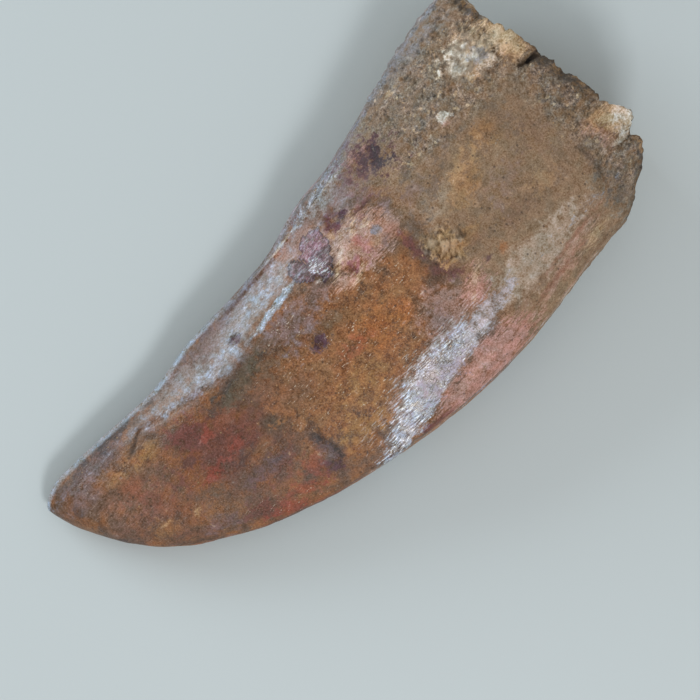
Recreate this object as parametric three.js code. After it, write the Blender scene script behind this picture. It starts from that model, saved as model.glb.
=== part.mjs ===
// Fossil tooth of a large meat-eating dinosaur, lying on its side: a flat, backward-curved blade of
// enamel that runs into a stump of root, broken across. The tooth is one solid in millimetres, +Z up.
// A station is a distance from the tip along +X, and +Y points to the concave rear edge.

import * as THREE from 'three';
import { mergeVertices } from 'three/addons/utils/BufferGeometryUtils.js';

// Driving dimensions
const toothLength = 80;
const rootThickness = 14.4;
const tipHeight = 9.3;
const tipLift = 1.6;
const crownLength = 55;
const restDepth = 0.3;
const pulpDepth = 2.4;
const rimSlantLength = 1.4;
const rimSlantDepth = 1.1;

// Facets round the tooth, rings from the tip to the broken end, and rings across the broken end
const facetsAround = 60;
const sideRings = 62;
const endRings = 14;

// Rings crowd towards the tip by this power, where the blade narrows fastest
const ringCrowding = 1.25;

// Edges of the blade seen from above, as [station, height across]
const rearEdge = curveThrough([
  [0, 10.5], [4, 11.05], [12, 10.75], [19, 10.45], [25, 11.4], [32, 11.5], [39, 12.05],
  [45, 13.6], [51, 14.25], [57, 15.6], [67, 18.1], [74, 19.1], [80, 19.4],
]);
const frontEdge = curveThrough([
  [0, 7.5], [1.4, 4.7], [4, -0.1], [8, -4.6], [12, -7.4], [17, -10.1], [24.5, -12.9],
  [32, -14.8], [40, -16.2], [48, -16.75], [56, -16.4], [63, -15.5], [70, -14.8], [80, -13.6],
]);

// Stations of the broken rim from the front edge (0) across to the rear edge (1), on the upper side
// with its splinter and notch and on the lower side, and the mean slant of the break between them
const upperRim = curveThrough([
  [0, 71], [0.03, 73.6], [0.06, 75.6], [0.13, 78.6], [0.175, 77.9], [0.205, 79.6], [0.23, 80],
  [0.32, 78.6], [0.43, 78.4], [0.53, 77.6], [0.72, 77], [0.8, 76], [0.94, 75.5], [1, 75.6],
]);
const lowerRim = curveThrough([
  [0, 71], [0.05, 74.2], [0.14, 76.4], [0.27, 77.4], [0.36, 76.3], [0.5, 76.6], [0.68, 75.8],
  [0.78, 74.4], [0.9, 75], [1, 75.6],
]);
const breakFace = curveThrough([[0, 73], [0.12, 76.4], [0.24, 78.2], [0.36, 77.4], [0.6, 76.7], [1, 75.4]]);

// How far the upper rim is broken away on a slant, as [height across, share]
const rimSlant = curveThrough([
  [-16, 0.5], [-9.5, 0.8], [-8, 0], [-3, 0], [-1.5, 0.8], [6, 1], [8, 0.2], [12.5, 0.1],
  [14, 0.9], [17.5, 0.9], [19, 0.3],
]);

// Thickness as a share of the root's, and how sharply the two edges close, as [station, value]
const thicknessShare = curveThrough([
  [0, 0.2], [6, 0.34], [14, 0.48], [24, 0.62], [34, 0.74], [46, 0.87], [58, 0.96], [70, 1], [80, 0.97],
]);
const rearSharpness = curveThrough([[0, 0.9], [40, 0.95], [58, 0.72], [72, 0.55]]);
const frontSharpness = curveThrough([[0, 0.85], [22, 0.88], [36, 0.66], [60, 0.55]]);

// The ridge where the flat flank of the rear edge starts, and how flat that flank is
const flankRidge = curveThrough([[12, 9.4], [20, 7.6], [27, 5.8], [34, 6.9], [42, 6.4], [50, 9]]);
const flankFlatness = curveThrough([[10, 0], [17, 0.9], [38, 1], [46, 0.4], [56, 0]]);

// The polished facet along the front edge: the ridge at its top, its foot, the foot's height as a share
// of half the thickness, and how flat the facet is
const facetRidge = curveThrough([
  [24, -10.6], [30, -12], [33, -11.6], [38, -9.8], [43, -9.3], [50, -10.4], [60, -12.4],
]);
const facetFoot = curveThrough([
  [24, -12], [32, -14.3], [36, -14.9], [39, -14.9], [43, -13.8], [50, -12.9], [60, -13.9],
]);
const facetFootHeight = curveThrough([[24, 0.35], [32, 0.42], [38, 0.5], [44, 0.62], [52, 0.72]]);
const facetFlatness = curveThrough([[24, 0], [31, 1], [47, 1], [58, 0]]);
const facetFootSharpness = 0.6;
const lowestFootShare = -0.98;

// Section roundness: 2 is a plain arch and larger values are flatter across the middle
const upperArchPower = 2.6;
const lowerArchPower = 2.15;

// Lumps and pits as centre, half lengths along and across, and height out of the surface
const upperRelief = [
  { station: 42.1, across: 7.9, along: 3.4, wide: 2.9, height: 0.5 },
  { station: 47.2, across: 9.3, along: 1.9, wide: 1.3, height: -0.35 },
  { station: 36.1, across: 0.7, along: 1.4, wide: 1.3, height: -0.4 },
  { station: 28, across: -9.2, along: 1.4, wide: 3, height: -0.2 },
  { station: 54.3, across: -1.7, along: 3, wide: 2.9, height: 0.5 },
  { station: 51.5, across: -3.4, along: 1.5, wide: 2.1, height: -0.3 },
  { station: 55.3, across: 10.9, along: 2.6, wide: 2.2, height: -0.25 },
  { station: 71.6, across: 11.2, along: 3.6, wide: 3, height: 0.6 },
  { station: 75.6, across: 10.6, along: 1.8, wide: 3, height: 0.3 },
  { station: 64.5, across: 8.6, along: 1.5, wide: 1.3, height: 0.35 },
  { station: 61, across: 12.2, along: 3, wide: 2, height: -0.3 },
  { station: 74, across: -11.5, along: 3.6, wide: 3.2, height: -0.5 },
  { station: 76.1, across: 6.2, along: 2, wide: 0.9, height: -0.8 },
  { station: 78.4, across: -5.2, along: 2.6, wide: 2.2, height: -0.65 },
];
const lowerRelief = [
  { station: 24, across: -4.5, along: 3, wide: 2.4, height: -0.4 },
  { station: 41, across: 7.5, along: 3.4, wide: 2.4, height: 0.4 },
  { station: 50, across: -9, along: 2.2, wide: 1.8, height: -0.5 },
  { station: 62, across: 11, along: 3.2, wide: 2.6, height: -0.5 },
  { station: 68, across: -8.5, along: 3.6, wide: 2.2, height: 0.45 },
];

// Swells that make the root lumpy, as length along, length across and height
const rootSwells = [
  { first: 8.4, second: 6.6, height: 0.16 },
  { first: 4.3, second: 4.9, height: 0.12 },
];

// Swells of the rough broken end, as length across, length upwards and height
const breakSwells = [
  { first: 9.2, second: 5.3, height: 0.45 },
  { first: 4.1, second: 3.3, height: 0.25 },
];

// Smooth curve through [position, value] pairs, level past its two ends
function curveThrough(points) {
  const positions = points.map((point) => point[0]);
  const values = points.map((point) => point[1]);
  const curve = new THREE.CubicInterpolant(positions, values, 1);
  return (position) => curve.evaluate(position)[0];
}

// Quarter-round start of the given length, 0 at the tip and 1 from there on
function rounded(station, length) {
  const left = Math.max(0, 1 - station / length);
  return Math.sqrt(1 - left * left);
}

function reliefHeight(reliefs, station, across) {
  let height = 0;
  for (const spot of reliefs) {
    const alongShare = (station - spot.station) / spot.along;
    const acrossShare = (across - spot.across) / spot.wide;
    const left = Math.max(0, 1 - alongShare * alongShare - acrossShare * acrossShare);
    height += spot.height * left * (2 - left);
  }
  return height;
}

// Rows of rounded lumps and hollows, each row pushed out of line by the other direction
function swellHeight(swells, first, second) {
  let height = 0;
  for (const swell of swells) {
    const firstTurn = (2 * Math.PI * first) / swell.first;
    const secondTurn = (2 * Math.PI * second) / swell.second;
    height += swell.height * Math.sin(firstTurn + 2 * Math.sin(secondTurn / 2.3))
      * Math.cos(secondTurn + 2 * Math.sin(firstTurn / 2.7));
  }
  return height;
}

// Height of the blade's arch over the plane of its edges, as a share of half the thickness; across
// runs from -1 at the front edge to 1 at the rear edge
function archHeight(station, acrossShare, power) {
  const sharpness = acrossShare < 0 ? frontSharpness(station) : rearSharpness(station);
  return (1 - Math.abs(acrossShare) ** power) ** sharpness;
}

// The arch with the flat flank of the rear edge and the flat facet of the front edge
function profileHeight(station, acrossShare, middle, half, power) {
  let arch = archHeight(station, acrossShare, power);
  const flankStart = (flankRidge(station) - middle) / half;
  if (acrossShare > flankStart && flankStart < 1) {
    const straight = (archHeight(station, flankStart, power) * (1 - acrossShare)) / (1 - flankStart);
    arch = THREE.MathUtils.lerp(arch, straight, flankFlatness(station));
  }
  const facetTop = (facetRidge(station) - middle) / half;
  const foot = Math.max(lowestFootShare, (facetFoot(station) - middle) / half);
  if (acrossShare < facetTop && facetTop > foot) {
    const footHeight = facetFootHeight(station);
    const risen = (acrossShare - foot) / (facetTop - foot);
    const sunk = Math.max(0, foot - acrossShare) / (1 + foot);
    const facet = acrossShare > foot
      ? THREE.MathUtils.lerp(footHeight, archHeight(station, facetTop, power), risen)
      : footHeight * Math.max(0, 1 - sunk * sunk) ** facetFootSharpness;
    arch = THREE.MathUtils.lerp(arch, facet, facetFlatness(station));
  }
  return arch;
}

// A point of the blade's side; the angle starts at the rear edge and passes over the top
function sidePoint(share, angle) {
  const acrossShare = Math.cos(angle);
  const widthShare = (1 + acrossShare) / 2;
  const upper = Math.sin(angle) > 0;
  const upperShare = THREE.MathUtils.smoothstep(Math.sin(angle), -0.5, 0.5);

  // Rings are flat near the tip and take the shape of the break near the broken end
  const plainStation = toothLength * share ** ringCrowding;
  const rimStation = THREE.MathUtils.lerp(lowerRim(widthShare), upperRim(widthShare), upperShare);
  const towardsBreak = THREE.MathUtils.smoothstep(plainStation, crownLength, toothLength);
  const station = plainStation * THREE.MathUtils.lerp(1, rimStation / toothLength, towardsBreak);

  const rear = tipHeight + (rearEdge(station) - tipHeight) * rounded(station, 2.7);
  const front = tipHeight + (frontEdge(station) - tipHeight) * rounded(station, 1.4);
  const middle = (rear + front) / 2;
  const half = (rear - front) / 2;
  const across = middle + half * acrossShare;
  const archPower = upper ? upperArchPower : lowerArchPower;
  const arch = profileHeight(station, acrossShare, middle, half, archPower);

  const onRoot = THREE.MathUtils.smoothstep(station, crownLength, crownLength + 8);
  let relief = reliefHeight(upper ? upperRelief : lowerRelief, station, across);
  relief += onRoot * swellHeight(rootSwells, station, across);
  if (upper) {
    const nearRim = 1 - THREE.MathUtils.smoothstep(rimStation - station, 0, rimSlantLength);
    relief -= rimSlantDepth * rimSlant(across) * nearRim;
  }
  relief *= Math.min(1, 3 * arch);

  // The underside lies along the ground, and its lowest strip is flat there
  const halfThickness = (rootThickness / 2) * thicknessShare(station) * rounded(station, 4);
  const edgePlane = halfThickness - restDepth + tipLift * (1 - rounded(station, 30));
  const outward = halfThickness * arch + relief;
  const height = upper ? edgePlane + outward : Math.max(0, edgePlane - outward);
  return new THREE.Vector3(station, across, height);
}

// A point of the broken end; the share runs from 1 at its rim to 0 in the middle
function endPoint(share, angle) {
  const rim = sidePoint(1, angle);
  const middle = sidePoint(1, Math.PI / 2).add(sidePoint(1, -Math.PI / 2)).multiplyScalar(0.5);
  const point = middle.lerp(rim, share);
  const widthShare = (1 + share * Math.cos(angle)) / 2;
  const pulp = THREE.MathUtils.smoothstep(1 - share, 0.25, 0.6);
  const face = breakFace(widthShare) - pulpDepth * pulp + swellHeight(breakSwells, point.y, point.z);
  point.x = THREE.MathUtils.lerp(rim.x, face, THREE.MathUtils.smoothstep(1 - share, 0, 0.22));
  return point;
}

// Four-sided facets are halved along their shorter diagonal; each lies in the index as the triangles
// (first, second, fourth) and (second, third, fourth), and the triangles at the two poles stand alone
function halveAcrossShorter(geometry) {
  const positions = geometry.attributes.position;
  const index = geometry.index;
  const corner = (place) => new THREE.Vector3().fromBufferAttribute(positions, index.getX(place));
  for (let start = 3 * facetsAround; start < index.count - 3 * facetsAround; start += 6) {
    const firstToThird = corner(start).distanceTo(corner(start + 4));
    const secondToFourth = corner(start + 1).distanceTo(corner(start + 2));
    if (firstToThird < secondToFourth) {
      index.setX(start + 2, index.getX(start + 4));
      index.setX(start + 3, index.getX(start));
    }
  }
}

// A ball whose rings are moved onto the tooth: its first pole is the tip and its last the broken end
function toothGeometry() {
  const ringCount = sideRings + endRings;
  const ball = new THREE.SphereGeometry(1, facetsAround, ringCount);
  ball.rotateZ(Math.PI / 2);
  const positions = ball.attributes.position;
  for (let index = 0; index < positions.count; index += 1) {
    const spot = new THREE.Vector3().fromBufferAttribute(positions, index);
    const ring = (Math.acos(THREE.MathUtils.clamp(-spot.x, -1, 1)) / Math.PI) * ringCount;
    const angle = Math.atan2(spot.z, spot.y);
    const point = ring <= sideRings
      ? sidePoint(ring / sideRings, angle)
      : endPoint((ringCount - ring) / endRings, angle);
    positions.setXYZ(index, point.x, point.y, point.z);
  }
  halveAcrossShorter(ball);
  ball.deleteAttribute('normal');
  ball.deleteAttribute('uv');
  return mergeVertices(ball);
}

// The origin is the middle of the tooth's box, on the ground
function originUnderMiddle(geometry) {
  geometry.computeBoundingBox();
  const middle = geometry.boundingBox.getCenter(new THREE.Vector3());
  geometry.translate(-middle.x, -middle.y, -geometry.boundingBox.min.z);
  geometry.computeVertexNormals();
  return geometry;
}

const fossil = new THREE.MeshStandardMaterial({ color: '#8f6a4a', roughness: 0.45, metalness: 0 });
const tooth = new THREE.Mesh(originUnderMiddle(toothGeometry()), fossil);
tooth.name = 'tooth';

const fossilTooth = new THREE.Group();
fossilTooth.name = 'fossil_tooth';
fossilTooth.add(tooth);

export default fossilTooth;
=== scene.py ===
import bisect
import math
from types import SimpleNamespace

import bmesh
import bpy
from mathutils import Matrix, Vector, noise


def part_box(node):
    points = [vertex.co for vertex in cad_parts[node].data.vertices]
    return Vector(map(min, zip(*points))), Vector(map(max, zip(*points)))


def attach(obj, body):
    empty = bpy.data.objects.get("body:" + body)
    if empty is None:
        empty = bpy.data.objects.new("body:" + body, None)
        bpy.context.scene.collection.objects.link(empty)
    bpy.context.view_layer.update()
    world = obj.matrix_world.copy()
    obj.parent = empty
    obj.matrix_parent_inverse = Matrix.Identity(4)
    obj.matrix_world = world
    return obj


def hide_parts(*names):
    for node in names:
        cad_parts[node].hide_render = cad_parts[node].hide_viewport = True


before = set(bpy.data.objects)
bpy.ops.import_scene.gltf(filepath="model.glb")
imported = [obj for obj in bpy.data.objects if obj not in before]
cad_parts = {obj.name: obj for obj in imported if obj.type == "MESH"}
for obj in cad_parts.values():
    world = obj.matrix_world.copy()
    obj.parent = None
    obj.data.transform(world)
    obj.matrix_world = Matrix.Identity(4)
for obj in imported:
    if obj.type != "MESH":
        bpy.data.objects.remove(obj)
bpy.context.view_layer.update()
boxLow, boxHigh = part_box("tooth")

# The tooth is drawn in millimetres. A station is a distance from the tip towards the broken end, and
# across is measured over the blade: the rear edge is on the high side and the front edge on the low side.
blade = {
    "length": 80.0,
    "lowestEdge": -16.75,       # across of the front edge at its lowest
    "rootThickness": 14.4,
    "tipAcross": 9.3,
    "tipLift": 1.6,
    "crownLength": 55.0,
    "restDepth": 0.3,
    "upperArchPower": 2.6,      # 2 is a plain arch, more is flatter across the middle
    "lowerArchPower": 2.15,
    "edgeRoll": 0.07,           # share of the half thickness that is the blunt roll of the edge
    "edgeRollWidth": 0.5,
    "upperSegments": 148,
    "lowerSegments": 108,
    "sideRings": 306,
    "endRings": 54,
    "ringCrowding": 1.1,
    "angleEvening": 0.45,       # spreads the rows of points from the edges to the middle
}
mm = (boxHigh.x - boxLow.x) / blade["length"]
tipCorner = Vector((boxLow.x, boxLow.y - blade["lowestEdge"] * mm, 0))


def smoothStep(value, low, high):
    share = min(1.0, max(0.0, (value - low) / (high - low)))
    return share * share * (3 - 2 * share)


def mix(low, high, share):
    return low + (high - low) * share


def curveThrough(*points):
    # smooth curve through (position, value) points, level past its two ends
    places = [point[0] for point in points]
    values = [point[1] for point in points]
    last = len(places) - 1
    slopes = []
    for i in range(last + 1):
        before, after = max(0, i - 1), min(last, i + 1)
        slopes.append((values[after] - values[before]) / (places[after] - places[before]))

    def valueAt(place):
        if place <= places[0]:
            return values[0]
        if place >= places[-1]:
            return values[-1]
        i = bisect.bisect_right(places, place) - 1
        gap = places[i + 1] - places[i]
        t = (place - places[i]) / gap
        near = (1 + 2 * t) * (1 - t) ** 2 * values[i] + t * t * (3 - 2 * t) * values[i + 1]
        return near + gap * t * (1 - t) * (slopes[i] * (1 - t) - slopes[i + 1] * t)

    return valueAt


# edges of the blade seen from above
rearEdge = curveThrough(
    (0, 10.5), (4, 11.05), (12, 10.75), (19, 10.45), (25, 11.4), (32, 11.5), (39, 12.05),
    (45, 13.6), (51, 14.25), (57, 15.6), (67, 18.1), (74, 19.1), (80, 19.4))
frontEdge = curveThrough(
    (0, 7.5), (1.4, 4.7), (4, -0.1), (8, -4.6), (12, -7.4), (17, -10.1), (24.5, -12.9),
    (32, -14.8), (40, -16.2), (48, -16.75), (56, -16.4), (63, -15.5), (70, -14.8), (80, -13.6))

# stations of the broken rim, from the front edge (0) to the rear edge (1), and of the face inside it
upperRim = curveThrough(
    (0, 71), (0.03, 73.6), (0.06, 75.6), (0.13, 78.6), (0.175, 77.9), (0.205, 79.6), (0.23, 80),
    (0.32, 78.6), (0.43, 78.4), (0.53, 77.6), (0.72, 77), (0.8, 76), (0.94, 75.5), (1, 75.6))
lowerRim = curveThrough(
    (0, 71), (0.05, 74.2), (0.14, 76.4), (0.27, 77.4), (0.36, 76.3), (0.5, 76.6), (0.68, 75.8),
    (0.78, 74.4), (0.9, 75), (1, 75.6))
breakFace = curveThrough((0, 73), (0.12, 76.4), (0.24, 78.2), (0.36, 77.4), (0.6, 76.7), (1, 75.4))

# how far the upper rim is broken away on a slant, over the breadth of the blade
rimSlant = curveThrough(
    (-16, 0.5), (-9.5, 0.8), (-8, 0), (-3, 0), (-1.5, 0.8), (6, 1), (8, 0.2), (12.5, 0.1), (14, 0.9),
    (17.5, 0.9), (19, 0.3))

thicknessShare = curveThrough(
    (0, 0.2), (6, 0.34), (14, 0.48), (24, 0.62), (34, 0.74), (46, 0.87), (58, 0.96), (70, 1), (80, 0.97))
rearSharpness = curveThrough((0, 0.9), (40, 0.95), (58, 0.72), (72, 0.55))
frontSharpness = curveThrough((0, 0.85), (22, 0.88), (36, 0.66), (60, 0.55))

# the flat flank along the rear edge: where it starts across the blade and how flat it is
rearRidge = curveThrough((12, 9.4), (20, 7.6), (27, 5.8), (34, 6.9), (42, 6.4), (50, 9))
rearFlatness = curveThrough((10, 0), (17, 0.9), (38, 1), (46, 0.4), (56, 0))

# the polished facet along the front edge, between its ridge and its foot
frontRidge = curveThrough(
    (24, -10.6), (30, -12), (33, -11.6), (38, -9.8), (43, -9.3), (50, -10.4), (60, -12.4))
frontFoot = curveThrough(
    (24, -12), (32, -14.3), (36, -14.9), (39, -14.9), (43, -13.8), (50, -12.9), (60, -13.9))
frontFootHeight = curveThrough((24, 0.35), (32, 0.42), (38, 0.5), (44, 0.62), (52, 0.72))
frontFlatness = curveThrough((24, 0), (31, 1), (47, 1), (58, 0))

# the polished bands of the enamel, which also get a painted sheen, each between its two sides across the
# blade
polishedBands = {
    "frontShine": (
        curveThrough(
            (30, -14.6), (33, -15.3), (36, -15), (39, -14.7), (42, -13.9), (46, -13), (50, -12.4),
            (54, -11.4), (58, -10.4)),
        curveThrough(
            (30, -14.6), (33, -13), (36, -11.5), (39, -9.9), (42, -9), (46, -9.1), (50, -9.2),
            (54, -9.1), (58, -10.4))),
    "rearShine": (
        curveThrough((11, 8.9), (16, 7.2), (20, 6.2), (25, 5.6), (28, 6.2), (32, 7.6), (38, 8), (42, 9.8)),
        curveThrough(
            (11, 8.9), (16, 9.2), (20, 8.9), (25, 9), (30, 10.5), (35, 11.2), (39, 11.2), (42, 10.4))),
}

# masks that the mesh carries to the material
meshMasks = ("upper", "recess", "seam", "block", "rim", "carina", "broken", *polishedBands)

# lumps and pits of the upper and lower side: station, across, half length, half width, height
upperSpots = (
    (36.1, 0.6, 0.9, 0.85, -0.45),
    (46.5, 9.1, 0.8, 1.2, -0.3),
    (47.2, 9.7, 0.8, 0.7, -0.25),
    (48.1, 9.0, 0.9, 0.6, -0.3),
    (28.0, -7.2, 0.9, 1.3, -0.14),
    (27.5, -9.6, 0.9, 1.4, 0.12),
    (51.5, -3.4, 1.5, 2.1, -0.2),
    (54.6, 11.2, 1.8, 1.6, -0.2),
    (56.2, 10.4, 1.4, 1.6, -0.18),
    (71.6, 11.2, 3.6, 3.0, 0.4),
    (72.4, 10.6, 1.2, 1.0, 0.3),
    (75.6, 10.6, 1.6, 3.0, 0.3),
    (64.5, 8.6, 1.0, 0.8, 0.45),
    (74.0, -11.5, 3.6, 3.2, -0.5),
    (78.4, -5.2, 2.6, 2.2, -0.65),
    (77.2, -7.8, 1.2, 0.5, -0.6),
    (49.9, 5.1, 0.9, 0.7, -0.2),
    (29.2, 7.7, 0.7, 0.5, -0.2),
    (43.8, 12.4, 1.5, 0.6, -0.3),
    (61.0, 12.2, 3.0, 2.0, -0.3),
    (5.0, 5.0, 2.6, 2.0, -0.12),
    (9.5, 1.5, 2.6, 2.2, 0.14),
    (17.0, 3.5, 3.5, 2.6, 0.12),
    (20.0, -4.0, 3.0, 2.4, -0.14),
)
lowerSpots = (
    (24.0, -4.5, 3.0, 2.4, -0.4),
    (41.0, 7.5, 3.4, 2.4, 0.4),
    (50.0, -9.0, 2.2, 1.8, -0.5),
    (62.0, 11.0, 3.2, 2.6, -0.5),
    (68.0, -8.5, 3.6, 2.2, 0.45),
)

# grooves (below 0) and ridges (above 0) of the upper side: half width, height, points
upperLines = (
    (0.3, -0.1, ((28.7, -6.3), (28.2, -7.7), (28.7, -8.8), (28.5, -10.2), (27.3, -11.7))),
    (0.3, -0.1, ((11.2, 6.9), (12.3, 7.2), (13.2, 7.9), (14.2, 8.2))),
    (0.45, 0.14, ((29.8, 6.6), (32.4, 6.5), (35.4, 7.0), (37.4, 7.1), (38.9, 6.6))),
    (0.4, 0.16, ((31.0, 10.8), (38.0, 11.3), (44.0, 11.9), (50.0, 12.7), (56.0, 14.3))),
    (0.45, -0.8, ((74.7, 6.6), (76.0, 6.2), (77.6, 6.1))),
    (0.35, -0.12, ((72.9, -4.8), (73.0, -7.2), (72.1, -10.2))),
    (0.3, -0.15, ((49.0, 8.2), (52.2, 7.9))),
)

# the ledge along the front edge: the surface steps down on the edge's side of this line
ledge = {
    "line": curveThrough(
        (34, -15.4), (39, -15), (43, -13.8), (50, -12.7), (53, -13.6), (60, -13.4), (67, -12), (73, -9.6)),
    "start": 37.0,
    "end": 73.0,
    "fade": 4.0,
    "step": 0.2,
}

# the lump of crystals: height, shade, darkness of the seam and corners of its blocks, the corners as
# station and across
crystalBlocks = (
    (0.14, 0.55, 0.0, ((41.3, 8.2), (43.1, 7.8), (44.9, 8.1), (45.4, 9.6), (44.4, 10.6), (42.3, 10.2))),
    (0.24, 0.3, 0.6, ((38.9, 7.7), (40.9, 7.3), (41.3, 8.2), (41.1, 8.9), (40.4, 9.6), (39.6, 9.3))),
    (0.18, 0.42, 0.5, ((38.9, 7.7), (39.3, 6.5), (41.2, 6.2), (40.9, 7.3))),
    (0.28, 0.95, 0.4, ((41.2, 6.2), (42.6, 5.6), (43.1, 6.3), (43.1, 7.8), (41.3, 8.2), (40.9, 7.3))),
    (0.22, 0.3, 0.5, ((43.1, 6.3), (43.3, 5.2), (44.2, 6.2), (44.6, 7.9), (43.1, 7.8))),
    (0.16, 0.2, 0.7, ((41.2, 6.2), (41.4, 5.1), (43.3, 5.2), (42.6, 5.6))),
)

# crusts of mineral on the skin: station, across, half length, half width, height
crusts = (
    (54.3, -1.9, 2.5, 2.2, 0.5),
    (53.2, -0.2, 1.3, 1.3, 0.35),
    (70.2, 11.9, 2.6, 1.9, 0.4),
    (73.2, 11.6, 2.2, 2.2, 0.35),
)

wear = {
    "crownGrain": 0.075,        # heights of the fine relief
    "rootGrain": 0.16,
    "coarseGrain": 0.2,
    "breakGrain": 0.35,
    "rimCrumble": 0.4,
    "rimChip": 0.12,
    "slantDepth": 1.1,          # where the upper rim is broken away on a slant
    "slantWidth": 1.4,
    "pulpDepth": 2.4,
}

# where the coarse crust of the root starts, and where it has come to its full strength
crustBorders = {
    "station": (55, 60),
    "across": (4.5, 8.5),
    "frontAcross": (-10, -12.5),
    "frontStation": (56, 60),
    "frontStrength": 0.4,
    "endStation": (70, 74.5),
}


def rounded(station, length):
    # quarter-round start of the given length
    left = max(0.0, 1 - station / length)
    return math.sqrt(1 - left * left)


def spotHeight(spots, station, across):
    height = 0.0
    for centre, middle, along, wide, rise in spots:
        left = 1 - ((station - centre) / along) ** 2 - ((across - middle) / wide) ** 2
        if left > 0:
            height += rise * left * (2 - left)
    return height


def distanceToLine(points, station, across):
    nearest = 1e9
    for (x1, y1), (x2, y2) in zip(points, points[1:]):
        dx, dy = x2 - x1, y2 - y1
        t = ((station - x1) * dx + (across - y1) * dy) / (dx * dx + dy * dy)
        t = min(1.0, max(0.0, t))
        nearest = min(nearest, math.hypot(station - x1 - t * dx, across - y1 - t * dy))
    return nearest


def lineHeight(station, across):
    height = 0.0
    for halfWidth, rise, points in upperLines:
        x, y = points[len(points) // 2]
        if abs(station - x) < 15 and abs(across - y) < 5:
            away = distanceToLine(points, station, across) / halfWidth
            if away < 1:
                height += rise * (1 - away * away) ** 2
    return height


def bandDepth(name, station, across):
    # how far a place is inside the polished band, below 0 outside; the high border fades slowly
    low, high = polishedBands[name]
    return max(-1.5, min(across - low(station), (high(station) - across) * 0.5, 1.5))


def crystalRelief(station, across):
    # cut blocks with tilted tops; returns the height, how deep in a seam the place is and the shade
    height, seam, shade = 0.0, 0.0, 0.0
    if not (38 < station < 46.5 and 4.5 < across < 11.5):
        return height, seam, shade
    for rise, blockShade, darkness, corners in crystalBlocks:
        inside = 1e9
        for (x1, y1), (x2, y2) in zip(corners, corners[1:] + corners[:1]):
            length = math.hypot(x2 - x1, y2 - y1)
            inside = min(inside, ((x2 - x1) * (across - y1) - (y2 - y1) * (station - x1)) / length)
        if inside > -0.15:
            spot = Vector((station, across, 3)) * 1.1
            nearest = noise.voronoi(spot)[1][0]
            tilt = noise.cell_vector(nearest * 9.3) - Vector((0.5, 0.5, 0.5))
            away = spot - nearest
            top = rise * (1 + 0.5 * (tilt.x * away.x + tilt.y * away.y) + 0.2 * tilt.z)
            height = max(height, min(top, 2.0 * (inside + 0.12)))
            seam = max(seam, darkness * (1 - smoothStep(abs(inside), 0.0, 0.2)))
            if inside > 0:
                shade = blockShade
    return height, seam, shade


def crustRelief(station, across):
    # cracked plates, thickest in the middle of each crust
    height, seam = 0.0, 0.0
    for centre, middle, along, wide, rise in crusts:
        if abs(station - centre) < 1.5 * along and abs(across - middle) < 1.5 * wide:
            left = 1 - ((station - centre) / along) ** 2 - ((across - middle) / wide) ** 2
            left += 1.1 * noise.fractal(Vector((station * 0.7, across * 0.7, 8.1)), 1.0, 2.2, 4)
            if left > 0:
                distances, centres = noise.voronoi(Vector((station, across, 0)) * 0.95)[:2]
                crack = 1 - smoothStep(distances[1] - distances[0], 0.0, 0.2)
                plate = 0.55 + 0.6 * noise.cell_vector(centres[0] * 11.7).x
                height = max(height, smoothStep(left, 0, 0.3) * rise * (plate - 0.5 * crack))
                seam = max(seam, crack * smoothStep(left, 0, 0.2))
    return height, seam


def fineRelief(point, station, across, upper):
    # grain of the skin: glossy crown, rough root and the coarse crust near the rear of the root
    grain = noise.fractal(point * 0.42, 1.0, 2.1, 5)
    rootShare = smoothStep(station + 2 * grain, blade["crownLength"] - 3, blade["crownLength"] + 7)
    height = mix(wear["crownGrain"], wear["rootGrain"], rootShare) * grain
    seam = 0.0
    patch = 2.2 * noise.noise(point * 0.3)
    front = smoothStep(across, *crustBorders["frontAcross"])
    front *= smoothStep(station + patch, *crustBorders["frontStation"])
    rear = smoothStep(station + patch, *crustBorders["station"])
    rear *= smoothStep(across + patch, *crustBorders["across"])
    end = smoothStep(station + patch, *crustBorders["endStation"])
    coarse = max(rear, end, crustBorders["frontStrength"] * front)
    if coarse > 0:
        distances = noise.voronoi(point * 1.5)[0]
        chosen = smoothStep(noise.noise(point * 0.7 + Vector((3, 1, 4))), -0.1, 0.25)
        pit = smoothStep(distances[0], 0.6, 0.1) * chosen
        crumbs = 0.9 * noise.fractal(point * 1.5, 0.8, 2.1, 3)
        height += coarse * wear["coarseGrain"] * (crumbs - 1.2 * pit)
        seam = coarse * pit
    if upper:
        lines = lineHeight(station, across)
        height += lines
        seam = max(seam, min(1.0, -5 * lines))
    return height, seam


def archHeight(station, acrossShare, power):
    sharpness = frontSharpness(station) if acrossShare < 0 else rearSharpness(station)
    return max(0.0, 1 - abs(acrossShare) ** power) ** sharpness


def profileHeight(station, acrossShare, middle, half, power):
    # cross-section of the blade: an arch with a flat flank to the rear and a polished facet to the front
    arch = archHeight(station, acrossShare, power)
    ridge = (rearRidge(station) - middle) / half
    if ridge < acrossShare < 1:
        straight = archHeight(station, ridge, power) * (1 - acrossShare) / (1 - ridge)
        arch = mix(arch, straight, rearFlatness(station))
    ridge = (frontRidge(station) - middle) / half
    foot = max(-0.98, (frontFoot(station) - middle) / half)
    if acrossShare < ridge and ridge > foot > -1:
        footHeight = frontFootHeight(station)
        if acrossShare > foot:
            climbed = (acrossShare - foot) / (ridge - foot)
            facet = mix(footHeight, archHeight(station, ridge, power), climbed)
        else:
            below = (foot - acrossShare) / (1 + foot)
            facet = footHeight * max(0.0, 1 - below * below) ** 0.6
        arch = mix(arch, facet, frontFlatness(station))
    roll = min(1.0, (1 - abs(acrossShare)) * half / blade["edgeRollWidth"])
    return arch * (1 - blade["edgeRoll"]) + blade["edgeRoll"] * math.sqrt(1 - (1 - roll) ** 2)


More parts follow.
